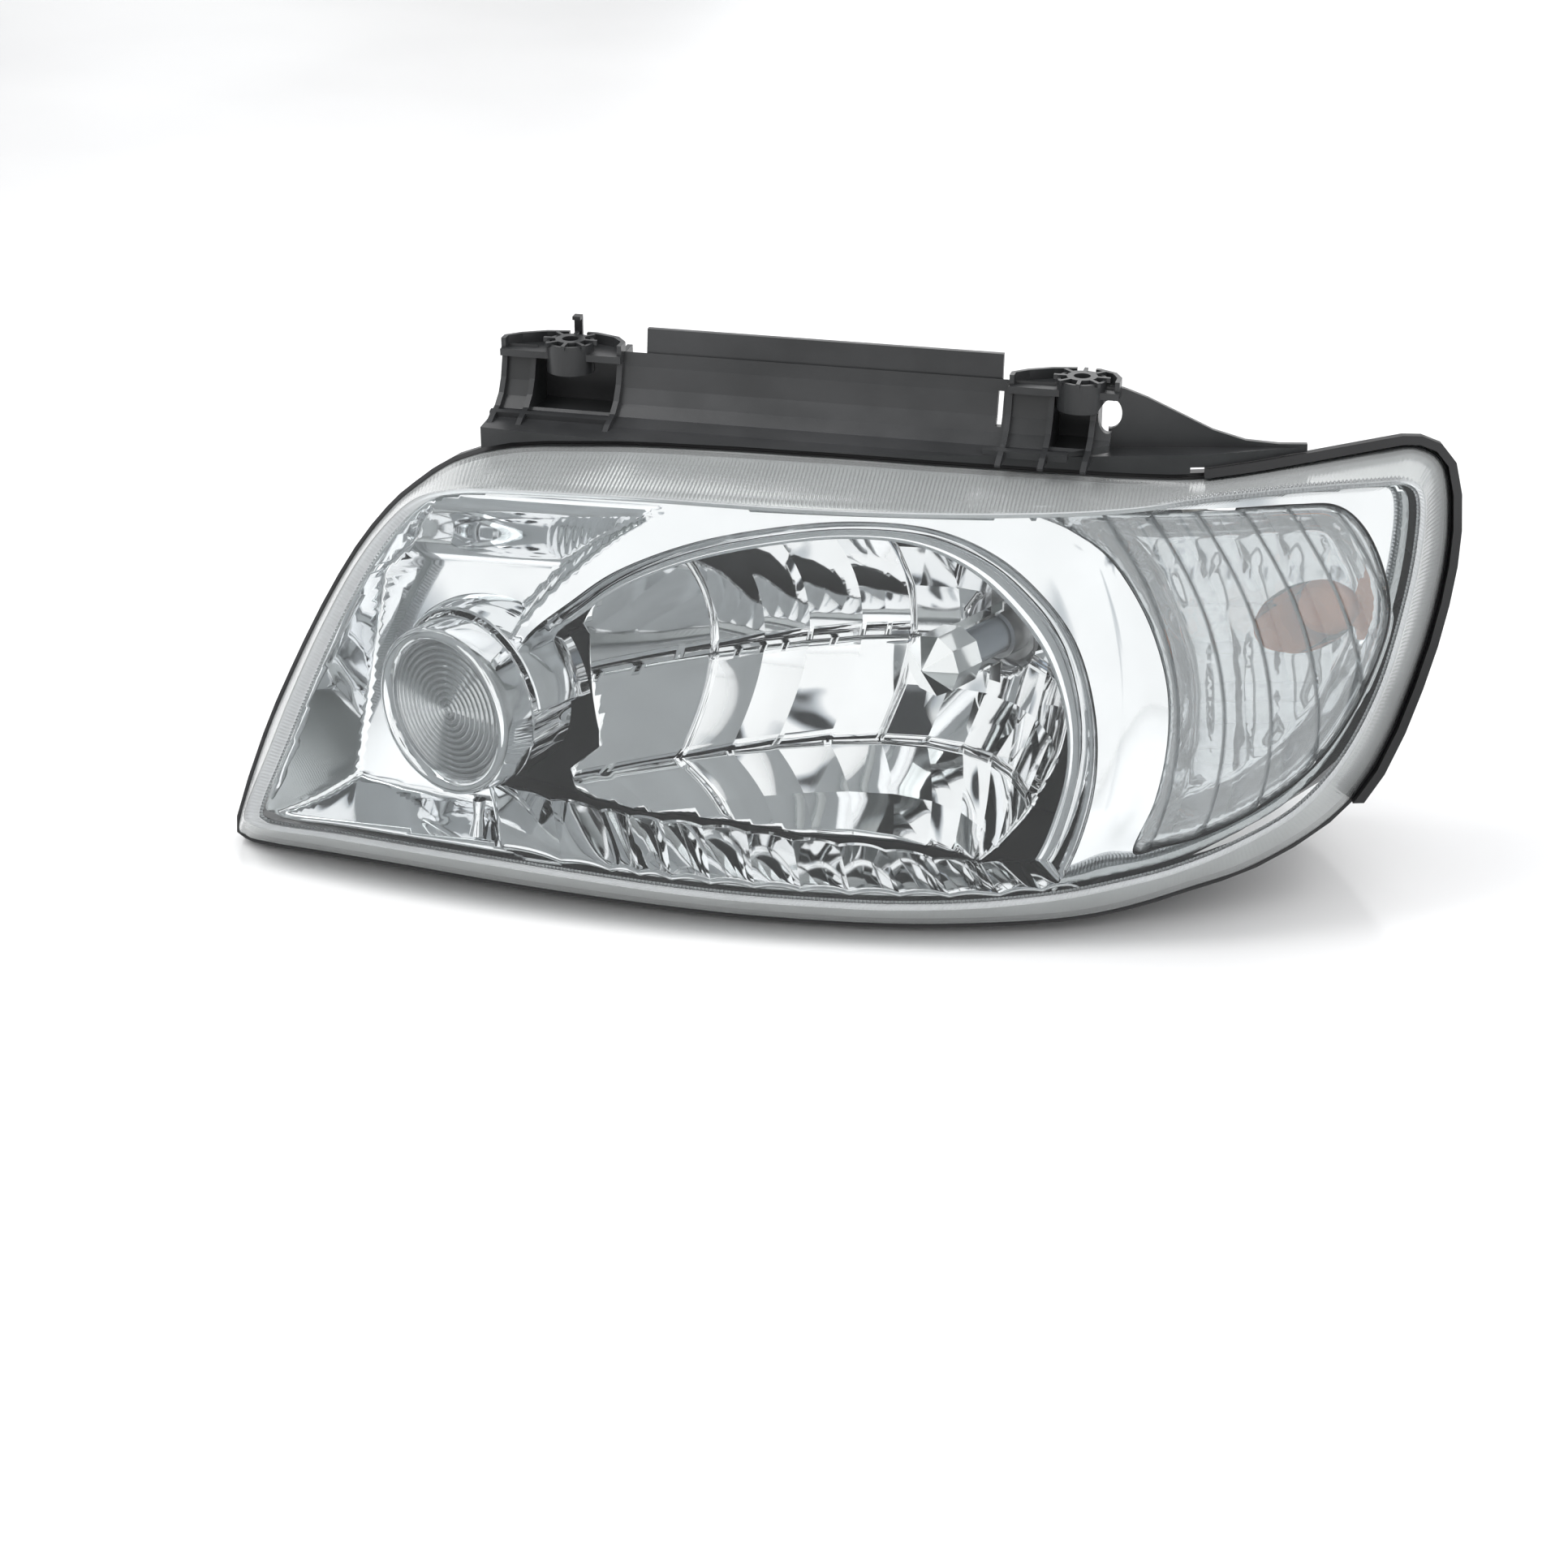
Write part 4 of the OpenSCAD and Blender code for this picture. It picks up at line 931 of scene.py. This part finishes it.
# ---------------------------------------------------------------- carried-over nodes
def dress(node, material, width):
    """Gives a node of the frame its material and, with a width, softened edges."""
    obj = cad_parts[node]
    obj.data.materials.clear()
    obj.data.materials.append(material)
    if width:
        bevel(obj, width)


def dress_frame():
    for node, material, width in [
        ("housing", HOUSING, 0.5), ("lens_sealant", RUBBER, 0), ("edge_seal", RUBBER, 0.6),
        ("top_bracket", BRACKET, 0.4), ("bracket_screws", STEEL, 0.3), ("locating_clip", BLACK, 0.3),
        ("pivot_stud", STEEL, 0), ("level_motor", BLACK, 0.6), ("level_motor_cover", BLACK, 0.5),
        ("level_motor_pins", BRASS, 0), ("aim_bushing", NYLON, 0.3), ("breather_caps", RUBBER, 0.4),
        ("pivot_socket", NYLON, 0), ("aim_frame", BLACK, 0.5), ("bulb_shield", SHIELD, 0.25),
        ("main_bulb_flange", STEEL, 0.2), ("main_bulb_glass", GLASS, 0), ("main_bulb_filaments", STEEL, 0),
        ("main_bulb_blades", STEEL, 0.1), ("level_socket", NYLON, 0), ("aim_socket", NYLON, 0),
        ("clip_screw", STEEL, 0.2), ("bulb_clip", SPRING, 0.5), ("level_rod", STEEL, 0),
        ("level_wheel", NYLON, 0.4), ("aim_rod", STEEL, 0), ("aim_knob", NYLON, 0.5),
        ("dust_cap", RUBBER, 0.8), ("dust_cap_gasket", RUBBER, 0), ("turn_holder", HOLDER, 0.5),
        ("turn_gasket", RUBBER, 0.2), ("turn_bulb", AMBER, 0), ("turn_bulb_base", BRASS, 0.2),
        ("turn_pins", BRASS, 0), ("position_holder", HOLDER, 0.5), ("position_gasket", RUBBER, 0.2),
        ("position_bulb", GLASS, 0), ("position_pins", BRASS, 0),
    ]:
        dress(node, material, width)


# ---------------------------------------------------------------- studio
CAMERA_AT = (0.8475, -1.0922, 0.6600)
CAMERA_BACK = (0.5737, -0.7056, 0.4160)
CAMERA_LENS = 78.0


def studio():
    scene = bpy.context.scene
    scene.view_settings.view_transform = "Standard"
    cam = bpy.data.cameras.new("camera")
    cam.lens = CAMERA_LENS
    cam.sensor_width = 36
    cam.clip_start = 0.01
    cam.clip_end = 50
    eye = bpy.data.objects.new("camera", cam)
    eye.location = CAMERA_AT
    eye.rotation_euler = Vector(CAMERA_BACK).to_track_quat("Z", "Y").to_euler()
    scene.collection.objects.link(eye)
    scene.camera = eye
    for name, place, target, size, power in [
        ("key", (-0.9, -0.9, 1.9), (0, 0, 0.1), (1.4, 1.4), 26),
        ("fill", (1.6, 0.4, 1.6), (0, 0, 0.1), (1.2, 1.6), 18),
        ("back", (-0.4, 1.8, 1.5), (0, 0, 0.15), (2.0, 1.0), 16),
    ]:
        light = bpy.data.lights.new(name, "AREA")
        light.shape = "RECTANGLE"
        light.size, light.size_y = size
        light.energy = power
        lamp = bpy.data.objects.new(name, light)
        lamp.location = place
        lamp.rotation_euler = (Vector(place) - Vector(target)).to_track_quat("Z", "Y").to_euler()
        scene.collection.objects.link(lamp)
    sky()
    floor()


def sky():
    """A white studio with a few dark flags, so that chrome has something to show."""
    world = bpy.data.worlds.new("studio")
    bpy.context.scene.world = world
    world.use_nodes = True
    tree = world.node_tree
    back = tree.nodes["Background"]
    where = tree.nodes.new("ShaderNodeTexCoord")
    n = tree.nodes.new("ShaderNodeTexNoise")
    n.inputs["Scale"].default_value = 2.8
    n.inputs["Detail"].default_value = 1.5
    tree.links.new(where.outputs["Generated"], n.inputs["Vector"])
    flags = tree.nodes.new("ShaderNodeValToRGB")
    flags.color_ramp.elements[0].position = 0.40
    flags.color_ramp.elements[0].color = (0.015, 0.016, 0.018, 1)
    flags.color_ramp.elements[1].position = 0.47
    flags.color_ramp.elements[1].color = (1.0, 1.0, 1.0, 1)
    pale = flags.color_ramp.elements.new(0.43)
    pale.color = (0.5, 0.53, 0.56, 1)
    tree.links.new(n.outputs["Fac"], flags.inputs["Fac"])
    tree.links.new(flags.outputs["Color"], back.inputs["Color"])
    back.inputs["Strength"].default_value = 1.15


def floor():
    mat, tree, shader = new_material("studio_floor")
    colour = ramp(tree, noise(tree, 1.5, 2), 0.3, 0.7, (0.9, 0.9, 0.905), (0.93, 0.93, 0.93))
    tree.links.new(colour, shader.inputs["Base Color"])
    tree.links.new(spread(tree, noise(tree, 6, 3), 0.12, 0.2), shader.inputs["Roughness"])
    mesh = bpy.data.meshes.new("floor")
    size = 6.0
    corners = [(-size, -size, 0), (size, -size, 0), (size, size, 0), (-size, size, 0)]
    mesh.from_pydata(corners, [], [(0, 1, 2, 3)])
    mesh.materials.append(mat)
    obj = bpy.data.objects.new("floor", mesh)
    bpy.context.scene.collection.objects.link(obj)


studio()
outer_lens()
bezel()
bezel_shelf()
main_reflector()
reflector_collar()
position_ring()
position_barrel()
position_hood()
position_dish()
position_lens()
position_stem()
turn_lens()
turn_reflector()
dress_frame()
